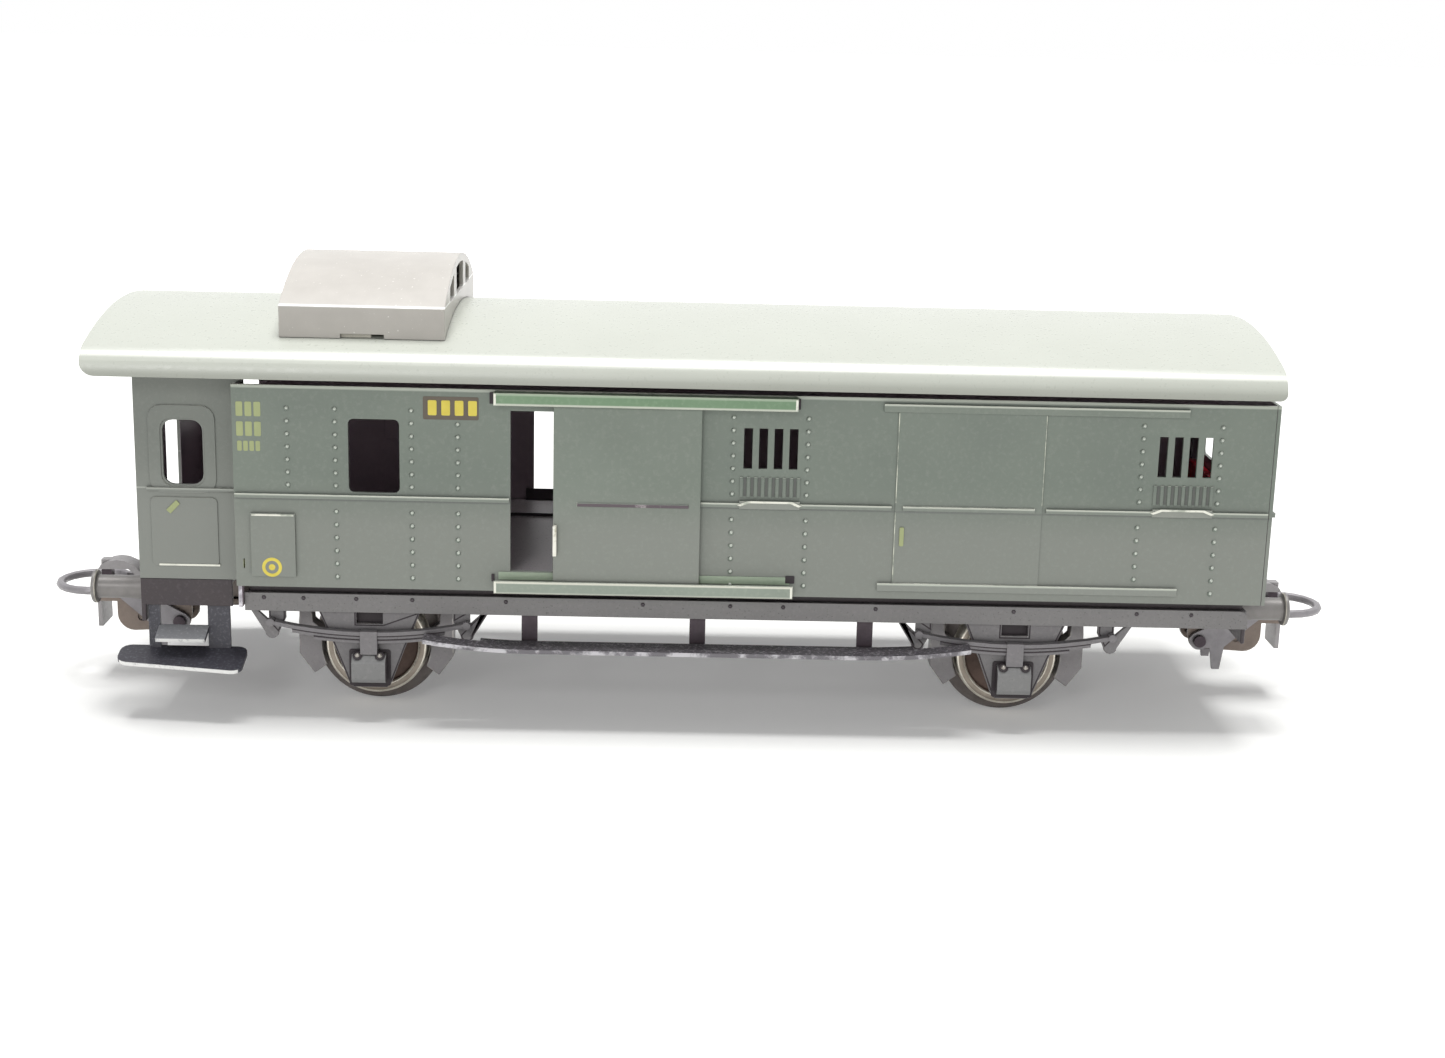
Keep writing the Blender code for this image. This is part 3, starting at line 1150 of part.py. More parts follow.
def make_coupler_frame():
    """The swinging coupler body at the +X end: arm, two cheek plates, nose plate and hook."""
    half = COUPLER_WIDTH / 2
    low = COUPLER_TOP - FRAME_SHEET
    outline = arc((COUPLER_PIVOT, 0), half, 90, 270, 8) + [(COUPLER_REACH, -half), (COUPLER_REACH, half)]
    eye = circle((COUPLER_PIVOT, 0), SWING_PIN + RUNNING)
    arm = plate(outline, FRAME_SHEET, [eye], "XY", (low + COUPLER_TOP) / 2)
    pieces = []
    corner = CHEEK_PLATE_DEPTH / 2
    foot = COUPLER_TOP - CHEEK_PLATE_DEPTH
    cheek = [(CHEEK_PLATE_START, COUPLER_TOP - BITE), (CHEEK_PLATE_START, foot + corner)]
    cheek += arc((LOOP_PIVOT, LOOP_PIVOT_HEIGHT), LEVER_EYE, 190, 290, 6)
    cheek += [(CHEEK_PLATE_END - corner, foot)]
    cheek += arc((CHEEK_PLATE_END - corner, foot + corner), corner, 270, 360, 6)[1:]
    cheek += [(CHEEK_PLATE_END, COUPLER_TOP - BITE)]
    pivot_hole = circle((LOOP_PIVOT, LOOP_PIVOT_HEIGHT), LEVER_PIN + RUNNING)
    window = circle((CHEEK_PLATE_END - corner * 1.45, foot + corner * 0.85), FRAME_SHEET * 1.2)
    for side in (-1, 1):
        pieces.append(plate(cheek, FRAME_SHEET, [pivot_hole, window], "XZ",
                            side * (half - BITE / 2 - FRAME_SHEET / 2)))
    nose = rounded(BITE - half, COUPLER_TOP - NOSE_DEPTH, half - BITE, COUPLER_TOP - BITE, 2 * BITE)
    pieces.append(plate(nose, FRAME_SHEET, (), "YZ", COUPLER_REACH - FRAME_SHEET / 2 - BITE / 2))
    hook_top = COUPLER_TOP + HOOK_HEIGHT
    hook_end = HOOK_STEM + HOOK_THICK * 1.4
    hook_back = hook_end - HOOK_LENGTH
    pieces.append(plate([(hook_back + HOOK_LENGTH * u, hook_top - HOOK_THICK * v) for u, v in HOOK_OUTLINE],
                        HOOK_WIDTH, (), "XZ"))
    pieces.append(box((HOOK_STEM - HOOK_THICK, -HOOK_WIDTH / 4, COUPLER_TOP - BITE),
                      (HOOK_STEM + HOOK_THICK, HOOK_WIDTH / 4, hook_top - BITE)))
    return combined(arm, pieces)


def loop_path(steps=10):
    """The loop's wire: out from one lever, round the tip in a half circle and back to the other."""
    half = LOOP_WIDTH / 2 - LOOP_WIRE
    root = COUPLER_WIDTH / 2 + SEAT + LEVER_SHEET / 2
    start = CHEEK_PLATE_END - LEVER_WIDTH
    bend = start + LEVER_WIDTH * 1.6
    centre = LOOP_TIP - LOOP_WIRE - half
    near = [(start, -root - SEAT, LOOP_HEIGHT), (start + LEVER_WIDTH / 2, -root - SEAT, LOOP_HEIGHT),
            (bend, -half, LOOP_HEIGHT)]
    tip = [(x, y, LOOP_HEIGHT) for x, y in arc((centre, 0), half, -90, 90, steps)]
    return near + tip + [(x, -y, z) for x, y, z in reversed(near)]


def make_coupler_loop():
    """The lifting loop at the +X end: two levers on the cheek plates, the wire loop and the trip tongue."""
    inner = COUPLER_WIDTH / 2 + SEAT
    middle = inner + LEVER_SHEET / 2
    eye = (LOOP_PIVOT, LOOP_PIVOT_HEIGHT)
    end_x = CHEEK_PLATE_END
    tongue = LOOP_PIVOT + LEVER_EYE
    lever = arc(eye, LEVER_EYE, 130, 310, 10)
    lever += [(tongue + TONGUE_WIDTH / 8, LOOP_PIVOT_HEIGHT - LEVER_EYE * 0.8),
              (tongue + TONGUE_WIDTH / 3, TONGUE_FOOT), (tongue + TONGUE_WIDTH * 0.8, TONGUE_FOOT),
              (tongue + TONGUE_WIDTH, LOOP_PIVOT_HEIGHT - LEVER_WIDTH / 2),
              (end_x, LOOP_HEIGHT - LEVER_WIDTH / 2), (end_x, LOOP_HEIGHT + LOOP_WIRE),
              (end_x - LEVER_WIDTH, LOOP_HEIGHT + LOOP_WIRE)]
    hole = circle(eye, LEVER_PIN + RUNNING)
    pieces = [plate(lever, LEVER_SHEET, [hole], "XZ", side * middle) for side in (-1, 1)]
    return combined(wire(loop_path(), LOOP_WIRE), pieces)


def make_couplers(colours):
    """Both couplers: frame, lifting loop, the loop's pin and the shouldered pin they swing on."""
    roofs = {"left": SIDE_BOTTOM - SEAT - FRAME_SHEET - SEAT,
             "right": UNDER_WEB}
    for end, turn in (("left", math.pi), ("right", 0.0)):
        spin = Matrix.Rotation(turn, 4, "Z")
        sign = -1 if end == "left" else 1
        frame = make_coupler_frame()
        loop = make_coupler_loop()
        pin_half = COUPLER_WIDTH / 2 + SEAT + LEVER_SHEET
        pin = turned([(LEVER_EYE * 0.65, -pin_half - LEVER_SHEET), (LEVER_EYE * 0.65, -pin_half - SEAT),
                      (LEVER_PIN, -pin_half - SEAT), (LEVER_PIN, pin_half + SEAT),
                      (LEVER_EYE * 0.65, pin_half + SEAT), (LEVER_EYE * 0.65, pin_half + LEVER_SHEET)],
                     16, "Y")
        moved(pin, (LOOP_PIVOT, 0, LOOP_PIVOT_HEIGHT))
        low = COUPLER_TOP - FRAME_SHEET - RUNNING
        swing = turned([(SWING_HEAD, low - FRAME_SHEET), (SWING_HEAD, low), (SWING_PIN, low),
                        (SWING_PIN, COUPLER_TOP + RUNNING), (SWING_SHOULDER, COUPLER_TOP + RUNNING),
                        (SWING_SHOULDER, roofs[end])], 20, "Z")
        moved(swing, (COUPLER_PIVOT, 0, 0))
        for obj in (frame, loop, pin, swing):
            obj.data.transform(spin)
        pivot = (sign * COUPLER_PIVOT, 0, COUPLER_TOP)
        lift = (sign * LOOP_PIVOT, 0, LOOP_PIVOT_HEIGHT)
        finished(frame, f"{end}_coupler_frame", colours["coupler"], pivot)
        finished(loop, f"{end}_coupler_loop", colours["loop"], lift)
        finished(pin, f"{end}_loop_pin", colours["pin"], lift)
        finished(swing, f"{end}_swing_pin", colours["pin"], pivot)


# ---------------------------------------------------------------- whole coach


def build():
    global parts, helpers
    clear_scene()
    parts = new_collection("baggage_coach")
    helpers = new_collection("helpers")

    body_green = paint("body_green_enamel", (0.105, 0.125, 0.115), 0.42)
    door_green = paint("door_green_enamel", (0.115, 0.138, 0.125), 0.42)
    porch_green = paint("porch_green_enamel", (0.095, 0.11, 0.105), 0.45)
    roof_grey = paint("roof_grey_enamel", (0.52, 0.55, 0.49), 0.4)
    cupola_grey = paint("cupola_grey_plastic", (0.31, 0.29, 0.27), 0.45)
    frame_grey = paint("underframe_grey", (0.085, 0.085, 0.09), 0.5)
    floor_grey = paint("floor_grey", (0.09, 0.09, 0.09), 0.55)
    headstock_black = paint("headstock_black", (0.02, 0.017, 0.018), 0.5)
    gear_grey = paint("running_gear_grey", (0.13, 0.13, 0.14), 0.45, 0.2)
    board_black = paint("board_black", (0.02, 0.025, 0.027), 0.6)
    steel = paint("bright_steel", (0.6, 0.58, 0.53), 0.3, 1.0)
    wheel_steel = paint("wheel_steel", (0.3, 0.28, 0.25), 0.4, 0.9)
    buffer_grey = paint("buffer_grey", (0.12, 0.12, 0.125), 0.4, 0.4)
    coupler_grey = paint("coupler_grey", (0.2, 0.18, 0.17), 0.4, 0.7)
    lamp_red = paint("lamp_red", (0.5, 0.01, 0.02), 0.15)

    make_side(-1, "side_wall_near", body_green)
    make_side(1, "side_wall_far", body_green)
    make_porch(porch_green)
    make_right_end(body_green)
    make_tail_lamp(lamp_red)
    make_sliding_door(-1, "sliding_door_near", door_green)
    make_sliding_door(1, "sliding_door_far", door_green)
    make_roof(roof_grey)
    make_cupola(cupola_grey)
    make_floor(floor_grey)
    make_underframe(frame_grey)
    make_left_headstock(headstock_black)
    make_right_headstock(headstock_black)
    make_buffers(buffer_grey)
    make_wheelset(-WHEELBASE / 2, "left", steel, wheel_steel)
    make_wheelset(WHEELBASE / 2, "right", steel, wheel_steel)
    make_running_gear({"axle_guard": gear_grey, "leaf_spring": gear_grey, "axle_box": gear_grey})
    make_brake_shoes(gear_grey)
    make_long_board(-1, "long_step_board_near", board_black)
    make_long_board(1, "long_step_board_far", board_black)
    make_porch_step(-1, "porch_step_near", board_black)
    make_porch_step(1, "porch_step_far", board_black)
    make_couplers({"coupler": coupler_grey, "loop": coupler_grey, "pin": steel})
    bpy.data.collections.remove(helpers)


build()
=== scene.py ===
import json
import math

import bmesh
import bpy
from mathutils import Matrix, Vector


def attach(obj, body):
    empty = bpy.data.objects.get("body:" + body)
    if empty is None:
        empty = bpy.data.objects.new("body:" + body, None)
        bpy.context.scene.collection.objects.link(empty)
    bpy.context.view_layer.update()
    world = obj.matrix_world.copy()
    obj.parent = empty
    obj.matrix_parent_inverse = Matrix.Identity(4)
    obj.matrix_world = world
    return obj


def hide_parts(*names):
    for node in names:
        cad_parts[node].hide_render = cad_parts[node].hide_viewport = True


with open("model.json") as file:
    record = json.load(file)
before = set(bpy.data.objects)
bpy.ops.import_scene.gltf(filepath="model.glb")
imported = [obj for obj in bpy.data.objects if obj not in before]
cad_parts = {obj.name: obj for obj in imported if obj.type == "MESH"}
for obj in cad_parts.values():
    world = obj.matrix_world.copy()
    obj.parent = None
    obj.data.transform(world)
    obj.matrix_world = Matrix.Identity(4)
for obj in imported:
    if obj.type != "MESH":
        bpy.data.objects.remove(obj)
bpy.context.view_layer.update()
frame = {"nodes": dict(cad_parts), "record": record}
print("frame loaded:", len(frame["nodes"]), "nodes")

mm = 0.001
sides = {"near": -1, "far": 1}
ends = {"left": -1, "right": 1}


def linear(hexColour):
    values = [int(hexColour[i:i + 2], 16) / 255 for i in (0, 2, 4)]
    return [v / 12.92 if v <= 0.04045 else ((v + 0.055) / 1.055) ** 2.4 for v in values] + [1.0]


def newObject(name, data):
    thing = bpy.data.objects.new(name, data)
    bpy.context.scene.collection.objects.link(thing)
    return thing


def addNode(tree, kind, inputs=None, **settings):
    # adds one node, sets it up and joins it to what feeds it
    node = tree.nodes.new(kind)
    for name, value in settings.items():
        setattr(node, name, value)
    for name, value in (inputs or {}).items():
        socket = node.inputs[name]
        if isinstance(value, bpy.types.NodeSocket):
            tree.links.new(value, socket)
        else:
            socket.default_value = value
    return node


def newMaterial(name, rough, metallic=0.0, ior=1.5):
    material = bpy.data.materials.new(name)
    material.use_nodes = True
    tree = material.node_tree
    shader = tree.nodes["Principled BSDF"]
    shader.inputs["Roughness"].default_value = rough
    shader.inputs["Metallic"].default_value = metallic
    shader.inputs["IOR"].default_value = ior
    place = addNode(tree, "ShaderNodeTexCoord").outputs["Object"]
    inMm = addNode(tree, "ShaderNodeMapping", {"Vector": place, "Scale": (1000, 1000, 1000)})
    return material, tree, shader, inMm.outputs["Vector"]


def noiseMask(tree, place, scale, low, high, most=1.0, detail=3.0, rough=0.6):
    # a noise of so many waves per mm, spread between two levels: 0 below low, most above high
    noise = addNode(tree, "ShaderNodeTexNoise", {"Vector": place, "Scale": scale, "Detail": detail,
                                                 "Roughness": rough})
    spread = addNode(tree, "ShaderNodeMapRange", {"Value": noise.outputs["Fac"], "From Min": low,
                                                  "From Max": high, "To Max": most})
    return noise.outputs["Fac"], spread.outputs["Result"]


def blended(tree, mask, under, over):
    # one colour laid over another where the mask is high; a colour is a hex word or another node's socket
    under = linear(under) if isinstance(under, str) else under
    over = linear(over) if isinstance(over, str) else over
    return addNode(tree, "ShaderNodeMixRGB", {"Fac": mask, "Color1": under, "Color2": over}).outputs["Color"]


def withCreaseShade(tree, colour, creaseShade, reach, most):
    # painted shade: the dark line where pieces and folds meet, drawn from ambient occlusion over a reach in
    # mm
    near = addNode(tree, "ShaderNodeAmbientOcclusion", {"Distance": reach * mm}, samples=6)
    held = addNode(tree, "ShaderNodeMapRange", {"Value": near.outputs["AO"], "From Min": 0.3, "From Max": 0.8,
                                                "To Min": most, "To Max": 0.0})
    return blended(tree, held.outputs["Result"], colour, creaseShade)


def bumped(tree, shader, height, strength, deep):
    skin = addNode(tree, "ShaderNodeBump", {"Height": height, "Strength": strength, "Distance": deep * mm})
    tree.links.new(skin.outputs["Normal"], shader.inputs["Normal"])


def linesOfLightShadeAndWear(tree, colour, place, lines):
    # pale and dark lines along level edges, painted highlights and painted shade with some rubbed coat: rows
    # are (height, half width, how much, colour)
    height = addNode(tree, "ShaderNodeSeparateXYZ", {"Vector": place}).outputs["Z"]
    for level, half, most, pale in lines:
        away = addNode(tree, "ShaderNodeMath", {0: height, 1: level}, operation="SUBTRACT").outputs["Value"]
        away = addNode(tree, "ShaderNodeMath", {0: away}, operation="ABSOLUTE").outputs["Value"]
        near = addNode(tree, "ShaderNodeMapRange", {"Value": away, "From Min": half, "From Max": half * 0.3,
                                                    "To Max": most})
        colour = blended(tree, near.outputs["Result"], colour, pale)
    return colour


# stoved enamel on tinplate, sprayed: a satin coat with fine orange peel (about 0.2 mm), soft tone drift
# over 1 cm and light dust; foot is the warmer, paler tone painted on the lower part of a wall: painted light
# from the pale floor
def enamel(name, colour, drift, dust, rough=0.4, peel=0.12, dustMost=0.3, grains=0.0, foot=None, lines=(),
           crease=0.7, ranges=(24.5, 18.5)):
    material, tree, shader, place = newMaterial(name, rough)
    peelHeight, grainMask = noiseMask(tree, place, 5.5, 0.66, 0.74, grains, 1.0)
    _, driftMask = noiseMask(tree, place, 0.11, 0.35, 0.68, 1.0, 4.0)
    fine, dustMask = noiseMask(tree, place, 2.6, 0.5, 0.78, dustMost)
    top = blended(tree, driftMask, colour, drift)
    if foot:
        parts = addNode(tree, "ShaderNodeSeparateXYZ", {"Vector": place})
        low = addNode(tree, "ShaderNodeMapRange", {"Value": parts.outputs["Z"], "From Min": ranges[0],
                                                   "From Max": ranges[1]}, interpolation_type="SMOOTHSTEP")
        top = blended(tree, low.outputs["Result"], top, foot)
    top = linesOfLightShadeAndWear(tree, blended(tree, dustMask, top, dust), place, lines)
    if grains:  # dark grains that settled in the coat
        top = blended(tree, grainMask, top, "2a2826")
    tree.links.new(withCreaseShade(tree, top, "262024", 0.5, crease), shader.inputs["Base Color"])
    gloss = addNode(tree, "ShaderNodeMapRange", {"Value": fine, "From Min": 0.3, "From Max": 0.75,
                                                 "To Min": rough - 0.05, "To Max": rough + 0.12})
    tree.links.new(gloss.outputs["Result"], shader.inputs["Roughness"])
    bumped(tree, shader, peelHeight, peel, 0.04)
    return material


# an edge colour, used for painted highlights and painted shade as well as for wear: where the coat is knocked
# and rubbed, pale primer and bare tin show in short runs of 1 to 3 mm
def edgeWearWithLightAndShade(name, colour, bare, howMuch=0.5, metal=0.6):
    material, tree, shader, place = newMaterial(name, 0.36)
    _, worn = noiseMask(tree, place, 0.5, 0.62 - 0.3 * howMuch, 0.74 - 0.3 * howMuch, 1.0, 5.0, 0.68)
    top = blended(tree, worn, colour, bare)
    tree.links.new(withCreaseShade(tree, top, "2c2628", 0.35, 0.5), shader.inputs["Base Color"])
    shine = addNode(tree, "ShaderNodeMath", {0: worn, 1: metal}, operation="MULTIPLY")
    tree.links.new(shine.outputs["Value"], shader.inputs["Metallic"])
    return material


# plain metal with the fine marks of turning or rolling along one axis, and duller stains
def workedMetal(name, colour, stain, rough=0.35, stretch=(1, 1, 1), metallic=1.0, stainMost=0.6, crease=0.8):
    material, tree, shader, place = newMaterial(name, rough, metallic)
    drawn = addNode(tree, "ShaderNodeMapping", {"Vector": place, "Scale": stretch})
    marks, _ = noiseMask(tree, drawn.outputs["Vector"], 3.2, 0.3, 0.7, 1.0, 5.0, 0.7)
    _, stained = noiseMask(tree, place, 0.7, 0.42, 0.66, stainMost, 4.0, 0.65)
    top = blended(tree, stained, colour, stain)
    tree.links.new(withCreaseShade(tree, top, "1d1614", 0.5, crease), shader.inputs["Base Color"])
    gloss = addNode(tree, "ShaderNodeMapRange", {"Value": marks, "From Min": 0.3, "From Max": 0.7,
                                                 "To Min": rough - 0.08, "To Max": rough + 0.14})
    tree.links.new(gloss.outputs["Result"], shader.inputs["Roughness"])
    bumped(tree, shader, marks, 0.15, 0.03)
    return material


# moulded plastic: an even colour, slightly cloudy, with a soft sheen and a few pale dust specks
def mouldedPlastic(name, colour, cloud, rough=0.38, specks=None, lines=()):
    material, tree, shader, place = newMaterial(name, rough, 0.0, 1.49)
    _, cloudy = noiseMask(tree, place, 0.25, 0.35, 0.65)
    grain, caught = noiseMask(tree, place, 3.2, 0.69, 0.75, 0.8, 2.0)
    top = blended(tree, cloudy, colour, cloud)
    if specks:
        top = blended(tree, caught, top, specks)
    top = linesOfLightShadeAndWear(tree, top, place, lines)
    tree.links.new(withCreaseShade(tree, top, "4a4544", 0.5, 0.5), shader.inputs["Base Color"])
    bumped(tree, shader, grain, 0.08, 0.03)
    return material


# grained black enamel over a rough casting: bluish black, with grey glints where the grain stands up
def grainedBlack(name, colour, speck, most):
    material, tree, shader, place = newMaterial(name, 0.42)
    grit, caught = noiseMask(tree, place, 3.4, 0.52, 0.7, most, 4.0, 0.7)
    top = blended(tree, caught, colour, speck)
    tree.links.new(withCreaseShade(tree, top, "141316", 0.5, 0.6), shader.inputs["Base Color"])
    bumped(tree, shader, grit, 0.5, 0.06)
    return material


# coats of the body: soft grey-green, with painted highlights along the upper edges, a line of painted shade
# under the belt, and painted light from the floor that makes the foot paler
bodyEnamel = enamel("body grey-green enamel", "747d74", "7b847a", "989d95", 0.4, foot="868a83", crease=0.4,
                    lines=[(32.3, 0.2, 0.75, "c9cfc2"), (21.76, 0.14, 0.35, "5f5f62")])
# the pale lines at the pressings' upper edges are painted highlights
pressedEnamel = enamel("enamel on its pressings with painted highlights", "7a8379", "81897f", "9da299", 0.38, foot="8b8f88",
                       crease=0.3, lines=[(22.25, 0.13, 0.85, "d0d5c8"), (31.86, 0.13, 0.85, "d0d5c8"),
                                          (14.82, 0.13, 0.85, "cdd3c6")])
bulgeEnamel = enamel("enamel rubbed on the louvre sills", "8b8f88", "94978f", "a4a7a0", 0.36, crease=0.3)
doorEnamel = enamel("door grey-green enamel", "778076", "7e877d", "9a9f96", 0.4, foot="878b84", crease=0.5)
# the porch grows paler towards its foot, painted light from the floor, and its pale line at the belt is a
# painted highlight
porchEnamel = enamel("porch grey-green enamel", "777b75", "7e827b", "92958f", 0.42, foot="8b8e88", crease=0.6,
                     ranges=(27.0, 19.0), lines=[(22.12, 0.1, 0.55, "c4c8bf")])
rivetEnamel = enamel("rivet grey-green enamel", "737c73", "7c857b", "9aa098", 0.26, crease=0.35)
# a pale crown on each rivet: a painted highlight
rivetCrownHighlight = enamel("painted highlight on rivet crown", "c6cdc2", "d0d6cb", "e2e6dd", 0.2, crease=0.0)
# the rails are a cleaner green, and the lower one is worn grey
railEnamel = enamel("rail green enamel", "718f6f", "7a9677", "a9bba2", 0.34, dustMost=0.25, crease=0.5,
                    lines=[(32.24, 0.16, 0.7, "b5c4ad"), (31.3, 0.13, 0.9, "d2d6c8")])
railPale = enamel("lower rail grey-green enamel", "8d978b", "949e92", "b9bfaf", 0.34, dustMost=0.25,
                  crease=0.5, lines=[(14.5, 0.13, 0.95, "e4e4d6"), (13.53, 0.1, 0.6, "c4c8ba")])
railBack = enamel("rail back green enamel", "a3b39d", "abbaa4", "c3cdbc", 0.36, crease=0.5)
# the roof is pale and nearly even, with a painted highlight along its fold and painted shade on its lower
# roll; the inside is dull lacquer
roofEnamel = enamel("roof pale grey enamel", "b6b9b0", "b9bcb3", "bcbfb6", 0.3, 0.03, 0.06, crease=0.4,
                    lines=[(35.2, 0.3, 0.6, "eeefe8"), (33.1, 1.2, 0.5, "92958b")])
insideTin = enamel("inside brown lacquered tin", "a08f99", "a897a1", "b5a5ae", 0.5, 0.1)
roofUnder = enamel("roof underside lacquered tin", "5f555a", "675d62", "7a7075", 0.5, 0.1)
floorTin = enamel("floor grey lacquered tin", "cfc8cb", "d6cfd2", "e2dcde", 0.42, 0.2, 0.5, 0.5, crease=0.3)
# the underframe and running gear are greys a little apart from each other, so that each piece reads
frameEnamel = enamel("underframe grey enamel", "7b7979", "807e7e", "949290", 0.42, 0.2, 0.4, 0.4)
gearEnamel = enamel("running gear grey enamel", "757274", "7c7a7b", "918e8d", 0.4, 0.3, 0.5, 0.3)
boxEnamel = enamel("axle box grey enamel", "808080", "868686", "979695", 0.4, 0.3, 0.5, 0.2, crease=0.5)
springEnamel = enamel("spring grey enamel", "7a7779", "807d80", "949190", 0.36, 0.3, 0.5, 0.3, crease=0.9)
headstockEnamel = enamel("headstock black enamel", "383034", "403739", "6c6468", 0.4, 0.2, 0.25)
# dark tones for slots and joints, painted shade
louvreShade = enamel("shade between louvres", "5c5f5b", "636661", "6d706a", 0.5, crease=0.2)
beadShade = edgeWearWithLightAndShade("shaded door bead", "5b5056", "b9b1b3", 0.25, 0.0)
handleEdge = edgeWearWithLightAndShade("rubbed door handle", "b3b19a", "f0efe4", 0.8, 0.2)
boardSide = edgeWearWithLightAndShade("long board side", "6f6c71", "c6c4c8", 0.55, 0.2)
shoeEnamel = enamel("brake shoe grey enamel", "8c888a", "949092", "a5a1a1", 0.4, 0.3, 0.4, 0.2)
gapBlack = enamel("shade in a gap", "2b2428", "322a2e", "4a4347", 0.6, crease=0.0)
# the steps' grain catches the light as grey glints
boardEnamel = grainedBlack("step board grained black", "4b474c", "c2c0c4", 0.8)
stepEnamel = grainedBlack("porch step grained black", "43424a", "868891", 0.5)
# the upper tread is a far paler copy of the step's black: painted light on a face the coach shades
treadEnamel = grainedBlack("upper tread black with painted light", "9c9da1", "cfd0d3", 0.6)
# edges where the coat is worn to primer and tin, and painted highlights on upward edges, which draw the pale
# lines
bodyEdge = edgeWearWithLightAndShade("body edge highlight and wear", "8a9287", "c6c9b9", 0.6)
beltEdge = edgeWearWithLightAndShade("belt edge highlight and wear", "b4baad", "e6e6da", 0.8, 0.3)
railEdge = edgeWearWithLightAndShade("rubbed rail edge", "b9c1af", "e4e4d6", 0.85, 0.3)
roofEdge = edgeWearWithLightAndShade("rubbed roof edge", "a9ada1", "d6d5cb", 0.4)
gearEdge = edgeWearWithLightAndShade("gear edge highlight and wear", "858282", "b0aca8", 0.45)
# painted shade: the dark line between the spring leaves
springEdge = edgeWearWithLightAndShade("painted shade between spring leaves", "2c2326", "5f5654", 0.1, 0.2)
boardEdge = edgeWearWithLightAndShade("rubbed step edge", "a9aaad", "f0f0ee", 0.95, 0.2)
bareTin = edgeWearWithLightAndShade("bare tin tab", "a7a3ab", "dad6dc", 0.6)
# the pale line along the cupola's brow is a painted highlight
cupolaPlastic = mouldedPlastic("cupola warm grey plastic", "b3afa9", "bab6b0", 0.34, "e4e2de",
                               [(39.46, 0.13, 0.95, "fbfaf8")])
# metals: the turned wheels shine in rings, the couplers and buffers are dull
wheelWeb = workedMetal("blackened wheel web", "6a574e", "4c3d37", 0.5, (1, 6, 1), 0.3)
wheelFlange = workedMetal("grey wheel flange", "7d7673", "625a57", 0.4, (1, 8, 1), 0.5)
tyreFace = workedMetal("bronzed tyre face", "a0968a", "857a6f", 0.36, (1, 8, 1), 0.5, crease=0.2)
treadSteel = workedMetal("bright tread steel", "e6e1d4", "c4bcae", 0.3, (1, 8, 1), 0.8, crease=0.0)
pinSteel = workedMetal("dull pin steel", "6b6460", "4d4643", 0.36, (6, 1, 1), 0.9)
boltBright = workedMetal("dull nickel bolt", "a7a29c", "77726c", 0.3, (1, 1, 1), 0.7, 0.5)
boltDark = workedMetal("dark solebar bolt", "4c464a", "3a3438", 0.4, (1, 1, 1), 0.4)
couplerSteel = workedMetal("dull plated coupler steel", "85786f", "756860", 0.42, (1, 3, 3), 0.25)
couplerEdge = workedMetal("rubbed coupler edge", "9b9899", "8a8788", 0.34, (1, 1, 1), 0.35)
stemSteel = workedMetal("dark coupler stem", "4a4047", "3a3136", 0.4, (1, 3, 3), 0.4)
loopSteel = workedMetal("grey loop wire", "908d90", "7d7a7d", 0.36, (1, 3, 3), 0.4)
bufferSteel = workedMetal("buffer grey steel", "858280", "777472", 0.36, (1, 5, 5), 0.35, crease=0.4)
bufferRim = workedMetal("rubbed buffer rim", "c4c0b2", "9a958c", 0.3, (1, 5, 5), 0.5)
# lamp lens, printing inks and the cupola's tab
lampRed = mouldedPlastic("lamp clear red", "e23040", "c82634", 0.15)
paleYellow = mouldedPlastic("pale yellow printing ink", "adb582", "a2aa7c", 0.5)
signYellow = mouldedPlastic("sign yellow printing ink", "eddc62", "dcc94f", 0.45)
plateDark = mouldedPlastic("dark printing ink", "5c5348", "665d52", 0.45)
cream = mouldedPlastic("cream tin tab", "dcd8c8", "e6e2d4", 0.4)
print("materials made:", len(bpy.data.materials))


def meshPiece(name, work, materials, body, sharp=32):
    # turns a bmesh in millimetres into a finished piece in metres, with its normals weighted by area
    bmesh.ops.scale(work, vec=(mm, mm, mm), verts=work.verts)
    mesh = bpy.data.meshes.new(name)
    work.to_mesh(mesh)
    work.free()
    mesh.shade_smooth()
    mesh.set_sharp_from_angle(angle=math.radians(sharp))
    piece = newObject(name, mesh)
    for material in materials:
        mesh.materials.append(material)
    weighted = piece.modifiers.new("weighted", "WEIGHTED_NORMAL")
    weighted.keep_sharp = True
    bpy.context.view_layer.update()
    final = bpy.data.meshes.new_from_object(piece.evaluated_get(bpy.context.evaluated_depsgraph_get()))
    piece.modifiers.clear()
    piece.data = final
    final.name = name
    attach(piece, body)
    return piece


def cadCopy(node):
    # the CAD node's mesh, merged, flat areas made whole again, in millimetres
    work = bmesh.new()
    work.from_mesh(frame["nodes"][node].data)
    bmesh.ops.scale(work, vec=(1000, 1000, 1000), verts=work.verts)
    bmesh.ops.remove_doubles(work, verts=work.verts, dist=0.002)
    bmesh.ops.dissolve_limit(work, angle_limit=math.radians(0.6), verts=work.verts, edges=work.edges)
    return work


nodeBody = {node: body for body, nodes in frame["record"]["behaviour"]["bodies"].items() for node in nodes}


